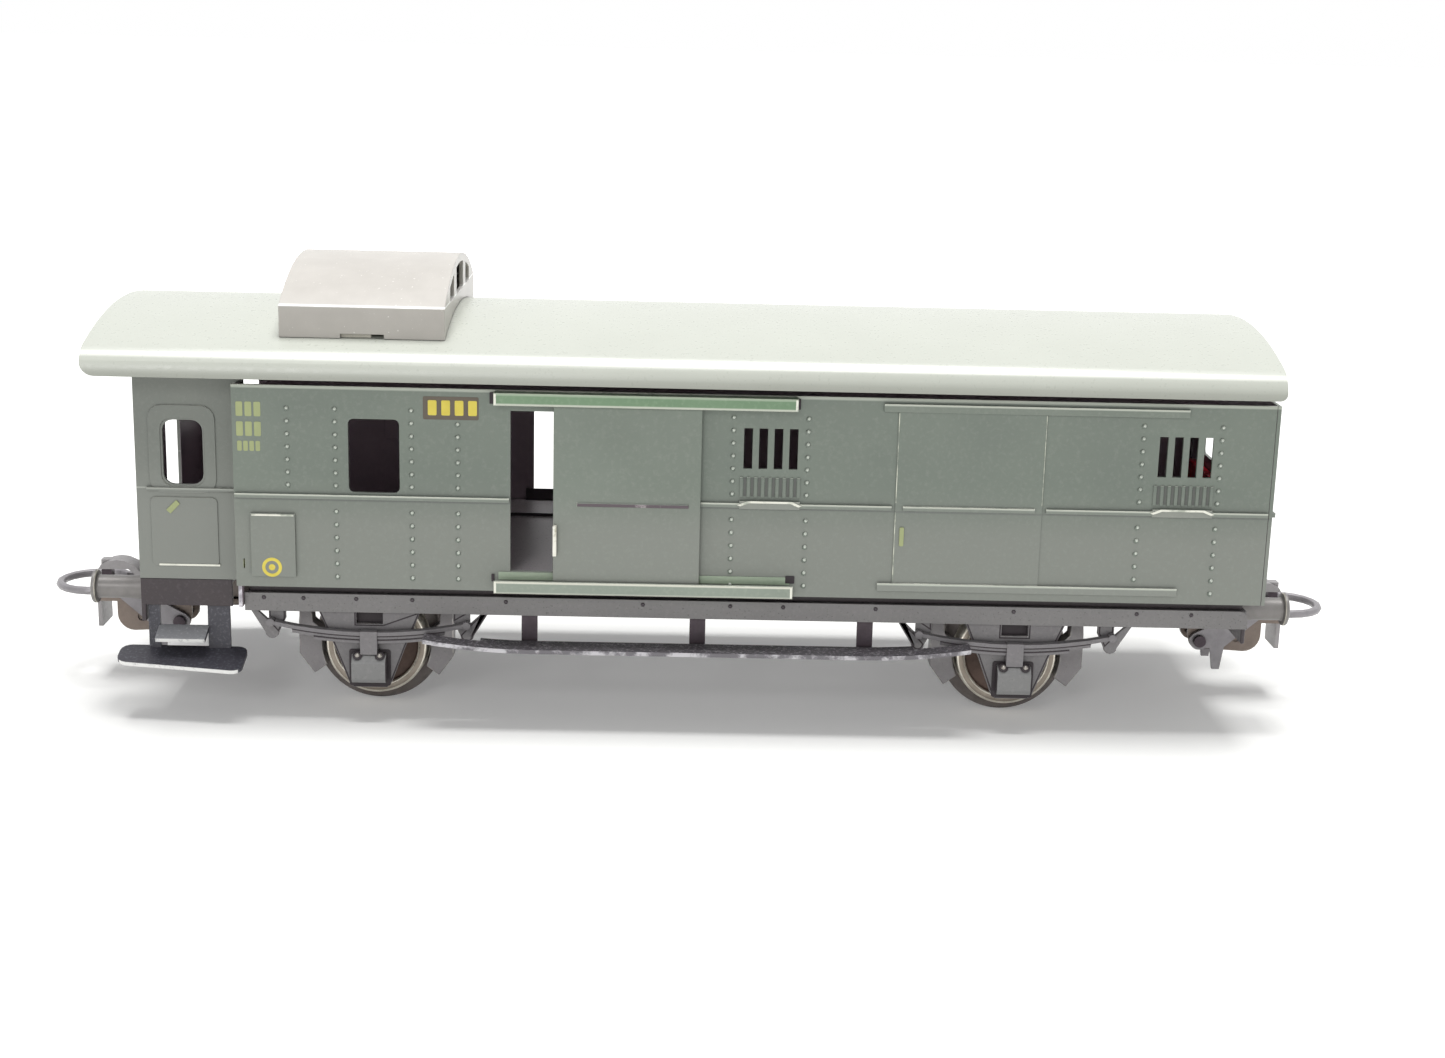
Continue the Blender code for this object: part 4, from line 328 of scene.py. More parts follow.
def softened(node, materials, width=0.06, rounds=2, pick=None, angle=28, adjust=None, rim=0.0):
    # the CAD node with its edges rounded off; the rounded edges take the second material, and
    # pick(centre, normal, onEdge) may give a face any of the materials; adjust moves its points first,
    # and rim is the width of a border in the last material round the outer faces over 4 square mm
    work = cadCopy(node)
    for vert in work.verts if adjust else ():
        vert.co = adjust(vert.co)
    edges = [edge for edge in work.edges if edge.is_manifold
             and edge.calc_face_angle(0) > math.radians(angle) and edge.calc_length() > 0.02]
    made = bmesh.ops.bevel(work, geom=edges, offset=width, segments=rounds, profile=0.6,
                           affect="EDGES", clamp_overlap=True, offset_type="OFFSET")
    rounded = {face for face in made["faces"] if face.is_valid}
    for face in work.faces:
        onEdge = face in rounded
        chosen = pick(face.calc_center_median(), face.normal, onEdge) if pick else None
        if chosen is None:
            chosen = 1 if onEdge and len(materials) > 1 else 0
        face.material_index = chosen
    if rim:
        reach = max(abs(vert.co.y) for vert in work.verts)
        fronts = [face for face in work.faces if abs(face.normal.y) > 0.99
                  and abs(face.calc_center_median().y) > reach - 0.05 and face.calc_area() > 4]
        for face in bmesh.ops.inset_region(work, faces=fronts, thickness=rim, use_even_offset=True)["faces"]:
            face.material_index = len(materials) - 1
    piece = meshPiece(node + "_look", work, materials, nodeBody[node])
    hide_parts(node)
    return piece


def lathed(node, profile, centre, axis, direction, materials, steps=72):
    # a turned piece: profile rows are (radius, distance along the axis, material of the face that follows)
    work = bmesh.new()
    rings = []
    for step in range(steps):
        turn = 2 * math.pi * step / steps
        across, up = math.cos(turn), math.sin(turn)
        ring = []
        for radius, along, _ in profile:
            out, aside = along * direction, radius * across
            x, y = (out, aside) if axis == "X" else (aside, out)
            ring.append(work.verts.new((centre[0] + x, centre[1] + y, centre[2] + radius * up)))
        rings.append(ring)
    for step in range(steps):
        here, after = rings[step], rings[(step + 1) % steps]
        for i, (_, _, material) in enumerate(profile):
            j = (i + 1) % len(profile)
            work.faces.new((here[i], here[j], after[j], after[i])).material_index = material
    bmesh.ops.recalc_face_normals(work, faces=work.faces)
    piece = meshPiece(node + "_look", work, materials, nodeBody[node], 25)
    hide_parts(node)
    return piece


# body sides: enamel outside, lacquer inside, green rails with rubbed lips; sizes in millimetres, and
# pressed and raised are how far past the face the pressings and the sills below the louvres begin
bodySide = {"face": 15.6, "sheet": 0.35, "railTop": 30.9, "railFoot": 14.8, "railStart": -18.65,
            "railEnd": 9.15, "top": 32.0, "tabTop": 13.2, "cabinetFrom": -41.4, "cabinetTo": -36.9,
            "left": -42.6, "pressed": 0.24, "raised": 0.33, "sillFoot": 20.0, "sillTop": 23.0,
            "beltFoot": 21.5}


def pickOnSide(centre, normal, onEdge):
    y = abs(centre.y)
    beyondWall = y > bodySide["face"] + 0.02
    inRails = bodySide["railStart"] < centre.x < bodySide["railEnd"]
    if inRails and beyondWall and centre.z > bodySide["railTop"]:
        return 3 if onEdge else 2
    if inRails and beyondWall and centre.z < bodySide["railFoot"]:
        return 3 if onEdge else 5
    if centre.z < bodySide["tabTop"]:
        return 6
    if y < bodySide["face"] - bodySide["sheet"] * 0.55 and centre.x > bodySide["left"]:
        return 4
    # upper edges of the pressings and of the wall take the pale edge colour, a painted highlight
    if onEdge and (normal.z > 0.25 and beyondWall):
        return 7  # upper edges of the pressings
    atSill = bodySide["sillFoot"] < centre.z < bodySide["sillTop"]
    if y > bodySide["face"] + bodySide["raised"] and (atSill or not inRails):
        return 9
    onCabinet = bodySide["cabinetFrom"] < centre.x < bodySide["cabinetTo"]
    if y > bodySide["face"] + bodySide["pressed"] and (centre.z > bodySide["beltFoot"] or not onCabinet):
        return 8
    return 7 if onEdge and centre.z > bodySide["top"] and normal.z > 0.2 else 0


slidingDoor = {"handleFrom": 16.55, "beadFrom": 16.38, "wornFoot": 19.0, "wornTop": 23.5}


def pickOnDoor(centre, normal, onEdge):
    if abs(centre.y) > slidingDoor["handleFrom"]:
        return 1  # the handle
    if onEdge and normal.x < -0.3 and slidingDoor["wornFoot"] < centre.z < slidingDoor["wornTop"]:
        return 1
    if abs(centre.y) > slidingDoor["beadFrom"] and normal.z < 0.2:
        return 2  # the bead is in its own shade
    return 0


for word in sides:
    softened("side_wall_" + word, (bodyEnamel, bodyEdge, railEnamel, railEdge, insideTin, railPale, bareTin,
                                   beltEdge, pressedEnamel, bulgeEnamel), 0.06, 2, pickOnSide)
    softened("sliding_door_" + word, (doorEnamel, handleEdge, beadShade), 0.05, 2, pickOnDoor)
print("body sides")


porch = {"insideY": 13.2, "insideX": -51.9, "pressedY": 13.52}


def pickOnPorch(centre, normal, onEdge):
    if abs(centre.y) < porch["insideY"] and centre.x > porch["insideX"]:
        return 2
    # upward rounded edges of the pressings take the pale edge colour, a painted highlight
    if onEdge and normal.z > 0.3 and abs(centre.y) > porch["pressedY"]:
        return 1
    return 0


def pickOnEndWall(centre, normal, onEdge):
    if normal.x < -0.5:
        return 2
    # upward rounded edges take the pale edge colour, a painted highlight
    return 1 if onEdge and normal.z > 0.3 else 0


softened("porch_shell", (porchEnamel, beltEdge, insideTin), 0.055, 2, pickOnPorch)
softened("right_end_wall", (bodyEnamel, bodyEdge, insideTin), 0.05, 2, pickOnEndWall)
softened("tail_lamp_insert", (lampRed,), 0.08, 2)
print("porch and end")

# roof: pale enamel above, a rubbed lower edge, dull lacquer below
roofSize = {"lipTop": 33.4, "insideY": 17.0}


def pickOnRoof(centre, normal, onEdge):
    if normal.z < -0.4 and centre.z < roofSize["lipTop"]:
        return 1
    return 2 if normal.z < -0.3 and abs(centre.y) < roofSize["insideY"] else 0


softened("roof", (roofEnamel, roofEdge, roofUnder), 0.09, 2, pickOnRoof, 34)
softened("cupola", (cupolaPlastic,), 0.16, 3)
print("roof and cupola")

# floor tray in pale lacquer with its flanges dark, painted shade under the body's edge, and the channel below
# it, rubbed along its lower edges
solebarFrom = 14.4


def pickOnTray(centre, normal, onEdge):
    return 0 if normal.z > 0.9 else 1


def pickOnUnderframe(centre, normal, onEdge):
    return 1 if onEdge and abs(centre.y) > solebarFrom and normal.z < -0.2 else 0


softened("floor_tray", (floorTin, headstockEnamel), 0.04, 1, pickOnTray)
softened("underframe", (frameEnamel, gearEdge), 0.06, 2, pickOnUnderframe)
softened("left_headstock", (headstockEnamel,), 0.06, 2)
# the right beam has rounder edges, so that the lifted loop clears it when the coupler swings too
softened("right_headstock", (headstockEnamel,), 0.19, 3)

# wheels: (radius, distance out from the back, material: 0 web, 1 flange, 2 tread, 3 tyre face)
wheel = {"back": 7.0, "height": 6.15, "axleX": 30.6, "profile": [
    (0.78, 0.0, 0), (4.05, 0.0, 1), (5.6, 0.0, 1), (5.95, 0.06, 1), (6.12, 0.22, 1), (6.15, 0.34, 1),
    (6.1, 0.48, 1), (5.9, 0.66, 1), (5.3, 0.82, 1), (5.05, 0.92, 2), (4.95, 1.1, 2), (4.88, 2.72, 2),
    (4.78, 2.84, 2), (4.64, 2.9, 3), (4.18, 2.9, 2), (4.05, 2.84, 2), (3.98, 2.7, 0), (3.86, 2.42, 0),
    (3.7, 2.35, 0), (1.75, 2.3, 0), (1.55, 2.35, 0), (1.5, 2.5, 0), (1.48, 2.78, 0), (1.38, 2.89, 0),
    (0.78, 2.9, 0)]}
# buffers: (radius, distance out from the root, as a share of the length, material: 0 shank, 1 rim)
bufferSize = {"y": 10.2, "z": 11.55, "face": 57.5, "roots": {"left": 52.26, "right": 52.66},
              "head": [(1.1, 0.66, 0), (1.16, 0.56, 0), (1.45, 0.5, 0), (1.56, 0.46, 1), (1.6, 0.38, 0),
                       (1.6, 0.2, 0), (1.54, 0.09, 0), (1.4, 0.03, 0), (0.9, 0.0, 0), (0.001, 0.0, 0)]}
coupler = {"hookFoot": 8.4, "hookHalf": 1.2, "stemTop": 10.6, "stemX": 58.2, "noseX": 58.6}


def pickOnCoupler(centre, normal, onEdge):
    if centre.z > coupler["hookFoot"] and abs(centre.y) < coupler["hookHalf"]:
        return 2 if centre.z < coupler["stemTop"] and abs(centre.x) > coupler["stemX"] else 1
    if abs(centre.x) > coupler["noseX"] or onEdge and abs(normal.y) < 0.85:
        return 1
    return 0


def pickOnSpring(centre, normal, onEdge):
    # the rounded edges above and below the leaves take the dark line of painted shade
    return 1 if onEdge and abs(normal.z) > 0.3 else 0


def pickOnGuard(centre, normal, onEdge):
    # painted highlight, with some wear, on the upper faces, and painted shade on the edges below and at the
    # sides
    if normal.z > 0.3:
        return 1
    return 2 if onEdge and abs(normal.y) < 0.95 or normal.z < -0.5 else 0


def pickOnBox(centre, normal, onEdge):
    # the box's sides and underside are in painted shade
    return 1 if abs(normal.x) > 0.6 or normal.z < -0.6 else 0


# rim is a border of painted shade round the guard's face
guard = {"legTop": 7.5, "legReach": 4.0, "narrower": 0.88, "rim": 0.14, "edge": 0.1}


def narrowed(spot):
    # the guard's legs stand a little closer in than the plate, round the wheel's rim
    away = abs(spot.x) - wheel["axleX"]
    if spot.z < guard["legTop"] and abs(away) < guard["legReach"]:
        spot.x = math.copysign(wheel["axleX"] + away * guard["narrower"], spot.x)
    return spot


stepBoard = {"armsFrom": 9.3, "armsY": 16.0, "boardFace": 17.1, "treadFace": 13.5, "upperFoot": 7.3,
             "upperTop": 10.2, "upperY": 13.0}


def pickOnBoard(centre, normal, onEdge):
    if centre.z > stepBoard["armsFrom"] and abs(centre.y) < stepBoard["armsY"]:
        return 2
    return 1 if abs(centre.y) > stepBoard["boardFace"] and abs(normal.y) > 0.6 and normal.z < 0.6 else 0


def pickOnPorchStep(centre, normal, onEdge):
    if abs(centre.y) > stepBoard["treadFace"] and abs(normal.y) > 0.75 and normal.z < 0.55:
        return 1
    # the upper tread's top faces take the paler black, painted light where the coach shades them
    atUpper = stepBoard["upperFoot"] < centre.z < stepBoard["upperTop"]
    return 2 if atUpper and abs(centre.y) > stepBoard["upperY"] and normal.z > 0.5 else 0


for end, direction in ends.items():
    for word, side in sides.items():
        softened(f"{end}_axle_guard_{word}", (gearEnamel, gearEdge, gapBlack), guard["edge"], 2, pickOnGuard,
                 adjust=narrowed, rim=guard["rim"])
        softened(f"{end}_leaf_spring_{word}", (springEnamel, springEdge), 0.05, 2, pickOnSpring)
        softened(f"{end}_axle_box_{word}", (boxEnamel, gapBlack), 0.12, 3, pickOnBox)
        for hand in ("outer", "inner"):
            softened(f"{end}_brake_shoe_{word}_{hand}", (shoeEnamel, gearEdge), 0.1, 2)
        lathed(f"{end}_wheel_{word}", wheel["profile"],
               (direction * wheel["axleX"], side * wheel["back"], wheel["height"]), "Y", side,
               (wheelWeb, wheelFlange, treadSteel, tyreFace), 96)
        root = bufferSize["roots"][end]
        profile = [(0.001, root, 0), (1.3, root, 0), (1.1, root + 1.6, 0)]
        profile += [(radius, bufferSize["face"] - along, material)
                    for radius, along, material in bufferSize["head"]]
        lathed(f"{end}_buffer_{word}", profile, (0.0, side * bufferSize["y"], bufferSize["z"]), "X",
               direction, (bufferSteel, bufferRim), 64)
    softened(end + "_axle", (pinSteel,), 0.05, angle=40)
    softened(end + "_loop_pin", (stemSteel,), 0.06, angle=40)
    softened(end + "_swing_pin", (pinSteel,), 0.06, angle=40)
    softened(end + "_coupler_frame", (couplerSteel, couplerEdge, stemSteel), 0.07, 2, pickOnCoupler)
    softened(end + "_coupler_loop", (loopSteel,), 0.05, angle=40)
for word in sides:
    softened("long_step_board_" + word, (boardEnamel, boardSide, stemSteel), 0.07, 2, pickOnBoard)
    softened("porch_step_" + word, (stepEnamel, boardEdge, treadEnamel), 0.07, 2, pickOnPorchStep)
print("running gear")


def domesOnPoints(name, points, facing, radius, height, material, body, corners=12):
    # a dome on every point, its flat side set on the wall and its crown towards facing
    seeds = bpy.data.meshes.new(name + " seeds")
    seeds.from_pydata([Vector(point) * mm for point in points], [], [])
    holder = newObject(name, seeds)
    tree = bpy.data.node_groups.new(name + " tree", "GeometryNodeTree")
    tree.interface.new_socket("Geometry", in_out="INPUT", socket_type="NodeSocketGeometry")
    tree.interface.new_socket("Geometry", in_out="OUTPUT", socket_type="NodeSocketGeometry")
    radiusIn = tree.interface.new_socket("Dome radius", in_out="INPUT", socket_type="NodeSocketFloat")
    heightIn = tree.interface.new_socket("Dome height", in_out="INPUT", socket_type="NodeSocketFloat")
    taken = addNode(tree, "NodeGroupInput").outputs
    dome = addNode(tree, "GeometryNodeMeshUVSphere", {"Segments": corners, "Rings": 6, "Radius": 1.0})
    sizes = addNode(tree, "ShaderNodeCombineXYZ", {"X": taken["Dome radius"], "Y": taken["Dome radius"],
                                                   "Z": taken["Dome height"]})
    turn = Vector((0, 0, 1)).rotation_difference(Vector(facing)).to_euler()
    placed = addNode(tree, "GeometryNodeInstanceOnPoints", {"Points": taken["Geometry"],
                                                            "Instance": dome.outputs["Mesh"],
                                                            "Rotation": turn,
                                                            "Scale": sizes.outputs["Vector"]})
    whole = addNode(tree, "GeometryNodeRealizeInstances", {"Geometry": placed.outputs["Instances"]})
    smooth = addNode(tree, "GeometryNodeSetShadeSmooth", {"Geometry": whole.outputs["Geometry"]})
    painted = addNode(tree, "GeometryNodeSetMaterial", {"Geometry": smooth.outputs["Geometry"],
                                                        "Material": material})
    addNode(tree, "NodeGroupOutput", {"Geometry": painted.outputs["Geometry"]})
    modifier = holder.modifiers.new("domes", "NODES")
    modifier.node_group = tree
    modifier[radiusIn.identifier] = radius * mm
    modifier[heightIn.identifier] = height * mm
    bpy.context.view_layer.update()
    made = bpy.data.meshes.new_from_object(holder.evaluated_get(bpy.context.evaluated_depsgraph_get()))
    bpy.data.objects.remove(holder)
    piece = newObject(name, made)
    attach(piece, body)
    return piece


rivets = {"radius": 0.25, "height": 0.17, "tip": 0.2, "tipHeight": 0.195, "tipUp": 0.05,
          "upperRows": [30.3 - 1.2 * i for i in range(7)],
          "lowerRows": [20.65 - 1.25 * i for i in range(6)],
          "columns": [-33.3, -26.3, 3.3, 10.2, 41.2, 48.5], "panelColumn": -22.05, "upperOnly": [-37.7]}
for word, side in sides.items():
    face = side * bodySide["face"]
    places = [(x, face, z) for x in rivets["columns"] for z in rivets["upperRows"] + rivets["lowerRows"]]
    places += [(x, face, z) for x in rivets["upperOnly"] for z in rivets["upperRows"]]
    places += [(rivets["panelColumn"], face, z) for z in rivets["upperRows"][1:] + rivets["lowerRows"]]
    domesOnPoints("side_rivets_" + word, places, (0, side, 0), rivets["radius"], rivets["height"],
                  rivetEnamel, "coach")
    # a smaller pale dome set a little up on each rivet: a painted highlight
    tips = [(x + rivets["tipUp"] / 2, y, z + rivets["tipUp"]) for x, y, z in places]
    domesOnPoints("side_rivet_tips_" + word, tips, (0, side, 0), rivets["tip"], rivets["tipHeight"],
                  rivetCrownHighlight, "coach", 8)

bolts = {"radius": 0.22, "height": 0.12, "y": 14.6, "z": 12.0,
         "xs": [-40.4, -36.7, -31.75, -26.5, -17.7, -4.8, 3.45, 8.45, 17.2, 30.3, 42.0, 47.2]}
for word, side in sides.items():
    domesOnPoints("solebar_bolts_" + word, [(x, side * bolts["y"], bolts["z"]) for x in bolts["xs"]],
                  (0, side, 0), bolts["radius"], bolts["height"], boltDark, "coach", 6)

# the two bolts on the sloping top of each axle box, each on a dark patch of painted shade
boxBolts = {"radius": 0.28, "seat": 0.48, "height": 0.3, "spread": 1.06, "y": 15.1, "z": 6.6}
for word, side in sides.items():
    places = [(direction * wheel["axleX"] + hand * boxBolts["spread"], side * boxBolts["y"], boxBolts["z"])
              for direction in (-1, 1) for hand in (-1, 1)]
    facing = (0, side * 0.7, 0.7)
    domesOnPoints("axle_box_bolts_" + word, places, facing, boxBolts["radius"],
                  boxBolts["height"], boltBright, "coach", 8)
    domesOnPoints("axle_box_bolt_seats_" + word, places, facing, boxBolts["seat"],
                  boxBolts["height"] / 3, gapBlack, "coach", 10)
print("rivets and bolts")


def printedPlate(name, outlines, thick, side, faceY, material, body):
    # thin flat patches standing on a vertical face, their outlines given as x and z in millimetres
    work = bmesh.new()
    for outline in outlines:
        front = [work.verts.new((x, side * (faceY + thick), z)) for x, z in outline]
        back = [work.verts.new((x, side * (faceY - 0.02), z)) for x, z in outline]
        work.faces.new(front)
        work.faces.new(list(reversed(back)))
        for i in range(len(outline)):
            j = (i + 1) % len(outline)
            work.faces.new((front[i], back[i], back[j], front[j]))
    bmesh.ops.recalc_face_normals(work, faces=work.faces)
    return meshPiece(name, work, [material], body)


def roundedOutline(x0, z0, x1, z1, radius, steps=4):
    corners = ((x0 + radius, z0 + radius, 180), (x1 - radius, z0 + radius, 270),
               (x1 - radius, z1 - radius, 0), (x0 + radius, z1 - radius, 90))
    return [(cx + radius * math.cos(math.radians(start + 90 * i / steps)),
             cz + radius * math.sin(math.radians(start + 90 * i / steps)))
            for cx, cz, start in corners for i in range(steps + 1)]


def blockRow(start, foot, width, tall, gap, count):
    starts = [start + i * (width + gap) for i in range(count)]
    return [roundedOutline(left, foot, left + width, foot + tall, 0.12) for left in starts]


def ringPart(x, z, inner, outer, start, end, steps=20):
    turns = [math.radians(start + (end - start) * i / steps) for i in range(steps + 1)]
    return ([(x + outer * math.cos(t), z + outer * math.sin(t)) for t in turns]
            + [(x + inner * math.cos(t), z + inner * math.sin(t)) for t in reversed(turns)])


# printed marks: plain blocks and a ring; a row of blocks is its start, foot, width, height, gap and count
marks = {"thick": 0.02, "plate": (-25.2, 29.55, -20.1, 31.7), "handle": (19.0, 18.5, 19.4, 20.3),
         "plateBlocks": (-24.75, 29.95, 0.8, 1.4, 0.43, 4),
         "rows": [(-42.3, 29.5, 0.62, 1.35, 0.2, 3), (-42.3, 27.65, 0.62, 1.35, 0.2, 3),
                  (-42.25, 26.25, 0.42, 0.95, 0.14, 4)],
         "ring": (-39.3, 15.3, 0.62, 0.92), "ringDot": 0.3,
         "small": [(-42.0, 15.1, 0.14, 0.9, 0.6, 2)],
         "porchHandle": [(-49.45, 20.05), (-49.05, 19.7), (-48.15, 20.65), (-48.5, 21.0)],
         "cabinetFace": 15.9, "porchFace": 13.62, "railLip": 16.84, "doorFace": 15.72}
# rubbed or shaded strips that stand on the sides, as x and z from corner to corner
strips = {"railBack": (-18.3, 14.5, 8.9, 15.22),
          "railSlots": [(-19.1, 31.15, -18.68, 32.2), (9.2, 31.2, 9.42, 32.2), (-18.95, 14.3, -18.68, 15.0),
                        (8.5, 14.65, 9.35, 15.35)],
          "railRims": [(x, z, x + 0.2, z + 1.05) for x in (-18.62, 8.92) for z in (13.5, 31.25)],
          "cabinet": (-41.1, 20.2, -37.2, 20.36), "porch": (-50.3, 14.66, -44.6, 14.84),
          "door": [(18.5, 15.0, 18.58, 21.7), (18.5, 22.6, 18.58, 31.1), (32.12, 22.6, 32.18, 31.1)]}
for word, side in sides.items():
    face = bodySide["face"]
    printedPlate("number_panel_" + word, [roundedOutline(*marks["plate"], 0.15)], marks["thick"], side, face,
                 plateDark, "coach")
    printedPlate("number_blocks_" + word, blockRow(*marks["plateBlocks"]), marks["thick"] * 2, side, face,
                 signYellow, "coach")
    printedPlate("side_blocks_" + word, [row for spec in marks["rows"] + marks["small"]
                                         for row in blockRow(*spec)],
                 marks["thick"], side, face, paleYellow, "coach")
    x, z, inner, outer = marks["ring"]
    printedPlate("side_ring_" + word,
                 [ringPart(x, z, low, high, start, start + 180)
                  for low, high in ((inner, outer), (0.02, marks["ringDot"])) for start in (0, 180)],
                 marks["thick"], side, marks["cabinetFace"], signYellow, "coach")
    printedPlate("fixed_door_handle_" + word, [roundedOutline(*marks["handle"], 0.12)], 0.12, side,
                 marks["doorFace"], paleYellow, "coach")
    printedPlate("porch_handle_" + word, [marks["porchHandle"]], 0.08, side, marks["porchFace"], paleYellow,
                 "coach")
    # the green strip of sheet that shows between the doorway sill and the lower rail
    printedPlate("rail_back_" + word, [roundedOutline(*strips["railBack"], 0.05)], 0.1, side, face,
                 railBack, "coach")
    # painted shade: dark patches in the slots that the rails' ends are tabbed through
    printedPlate("rail_slots_" + word, [roundedOutline(*slot, 0.05) for slot in strips["railSlots"]], 0.11,
                 side, face, gapBlack, "coach")
    # the rails' turned-in ends, rubbed pale
    printedPlate("rail_end_rims_" + word, [roundedOutline(*rim, 0.08) for rim in strips["railRims"]],
                 marks["thick"], side, marks["railLip"], beltEdge, "coach")
    # pale lines on edges of the cabinet and of the porch door, painted highlights with some rubbed coat, and
    # on the fixed door where the coat is rubbed
    printedPlate("cabinet_highlight_line_" + word, [roundedOutline(*strips["cabinet"], 0.05)], 0.03, side,
                 marks["cabinetFace"], beltEdge, "coach")
    printedPlate("porch_highlight_lines_" + word, [roundedOutline(*strips["porch"], 0.05)], 0.04, side,
                 marks["porchFace"], beltEdge, "coach")
    printedPlate("door_rubbed_lines_" + word, [roundedOutline(*line, 0.02) for line in strips["door"]],
                 marks["thick"], side, marks["doorFace"], bodyEdge, "coach")

# running gear: a border of painted shade where the axle box sits on the guard, the shade in the opening
# behind the spring's buckle, and lines of painted shade between the leaves of each spring; half widths, feet
# and tops
boxShadeBorder = {"half": 1.95, "foot": 3.4, "top": 6.95, "face": 14.17}
opening = {"half": 2.2, "foot": 8.6, "top": 12.3, "face": 13.45}
springLines = {"count": 2, "half": 9.2, "shorter": 0.22, "top": 9.85, "leaf": 0.35, "drop": 1.0, "tall": 0.1,
               "face": 14.985, "pieces": 16}


def leafLine(leaf, middle):
    half = springLines["half"] * (1 - springLines["shorter"] * (leaf + 1))
    foot = springLines["top"] - (leaf + 1) * springLines["leaf"] - springLines["tall"]
    xs = [half * (2 * i / springLines["pieces"] - 1) for i in range(springLines["pieces"] + 1)]
    lower = [(middle + x, foot - springLines["drop"] * (1 - (x / springLines["half"]) ** 2)) for x in xs]
    return lower + [(x, z + springLines["tall"]) for x, z in reversed(lower)]


for end, direction in ends.items():
    middle = direction * wheel["axleX"]
    for word, side in sides.items():
        for name, patch, corner, thick in (("axle_box_shade", boxShadeBorder, 0.2, 0.1),
                                           ("guard_opening_shade", opening, 0.1, 0.08)):
            outline = roundedOutline(middle - patch["half"], patch["foot"], middle + patch["half"],
                                     patch["top"], corner)
            printedPlate(f"{name}_{end}_{word}", [outline], thick, side, patch["face"], gapBlack, "coach")
        lines = [leafLine(leaf, middle) for leaf in range(springLines["count"])]
        printedPlate(f"leaf_lines_{end}_{word}", lines, 0.03, side, springLines["face"], gapBlack, "coach")

# the shade between the louvres, the pale rim of the sill below them, a painted highlight, and the cupola's
# tab in its notch
louvres = {"starts": (4.0, 42.45), "wide": 5.6, "pitch": 0.6625, "count": 9, "foot": 22.95, "top": 24.7,
           "gapFrom": 0.37, "gapTo": -0.07, "rimFace": 15.95,
           "rim": ((-0.2, 22.15), (0.75, 22.55), (0.9, 22.36), (0.1, 22.05))}
cupolaTab = {"outline": (-33.4, 36.58, -30.2, 36.86), "face": 12.9}
for word, side in sides.items():
    gaps, rims = [], []
    outerFoot, outerTop, innerTop, innerFoot = louvres["rim"]
    for start in louvres["starts"]:
        gaps += [roundedOutline(start + i * louvres["pitch"] + louvres["gapFrom"], louvres["foot"],
                                start + (i + 1) * louvres["pitch"] + louvres["gapTo"], louvres["top"], 0.03)
                 for i in range(louvres["count"] - 1)]
        stop = start + louvres["wide"]
        rims.append([(start + x, z) for x, z in (outerFoot, outerTop)]
                    + [(stop - x, z) for x, z in (outerTop, outerFoot, innerFoot, innerTop)]
                    + [(start + x, z) for x, z in (innerTop, innerFoot)])
    printedPlate("louvre_gaps_" + word, gaps, 0.03, side, bodySide["face"], louvreShade, "coach")
    printedPlate("sill_rim_highlights_" + word, rims, 0.05, side, louvres["rimFace"], beltEdge, "coach")
    printedPlate("cupola_tab_" + word, [roundedOutline(*cupolaTab["outline"], 0.05)], 0.1, side,
                 cupolaTab["face"], cream, "coach")


def slab(name, low, high, materials, frontY):
    # a plain block between two corners in millimetres; the side that faces frontY takes the second material
    work = bmesh.new()
    bmesh.ops.create_cube(work, size=1.0)
    for vert in work.verts:
        vert.co = Vector([low[i] + (vert.co[i] + 0.5) * (high[i] - low[i]) for i in range(3)])
    for facet in work.faces:
        facet.material_index = 1 if facet.normal.y * frontY > 0.5 else 0
    return meshPiece(name, work, materials, "coach")


# inside: a raised strip along the floor with its front in painted shade, the sill of the far doorway in
# painted shade, and a dark sheet behind the far side's window
inside = {"strip": ((-36.0, 7.6, 15.0), (50.0, 13.2, 15.32)),
          "sill": ((-18.0, 14.85, 15.0), (9.0, 15.05, 16.25)),
          "farSheet": (-33.0, 21.4, -26.6, 30.2), "farSheetFace": 14.95}
slab("floor_strip", *inside["strip"], [floorTin, gapBlack], -1)
slab("far_doorway_sill_shade", *inside["sill"], [gapBlack, gapBlack], -1)
printedPlate("far_window_dark_sheet", [roundedOutline(*inside["farSheet"], 0.1)], 0.15, 1, inside["farSheetFace"],
             insideTin, "coach")
print("printed marks")


def whiteRays(tree):
    # 1 for the rays that see the studio's white, which are those of the camera, of gloss and of glass
    rays = addNode(tree, "ShaderNodeLightPath").outputs
    seen = rays["Is Camera Ray"]
    for kind in ("Is Glossy Ray", "Is Transmission Ray"):
        seen = addNode(tree, "ShaderNodeMath", {0: seen, 1: rays[kind]}, operation="MAXIMUM").outputs["Value"]
    return seen


# stage, light and camera: the floor is white wherever it isn't in the coach's own soft shadow
stageSize = {"half": 3.0, "drop": 0.0001, "fadeFrom": 0.16, "fadeTo": 0.34, "lift": 0.2}
floorMesh = bpy.data.meshes.new("studio floor")
half, drop = stageSize["half"], stageSize["drop"]
corners = [(-1, -1), (1, -1), (1, 1), (-1, 1)]
floorMesh.from_pydata([(x * half, y * half, -drop) for x, y in corners], [], [(0, 1, 2, 3)])
floor = newObject("studio_floor", floorMesh)
floorMaterial = bpy.data.materials.new("studio floor white")
floorMaterial.use_nodes = True
floorTree = floorMaterial.node_tree
floorShader = floorTree.nodes["Principled BSDF"]
floorShader.inputs["Base Color"].default_value = linear("e9e9e7")
floorShader.inputs["Roughness"].default_value = 0.9
floorShader.inputs["Specular IOR Level"].default_value = 0.1
floorPlace = addNode(floorTree, "ShaderNodeTexCoord").outputs["Object"]
away = addNode(floorTree, "ShaderNodeVectorMath", {0: floorPlace}, operation="LENGTH").outputs["Value"]
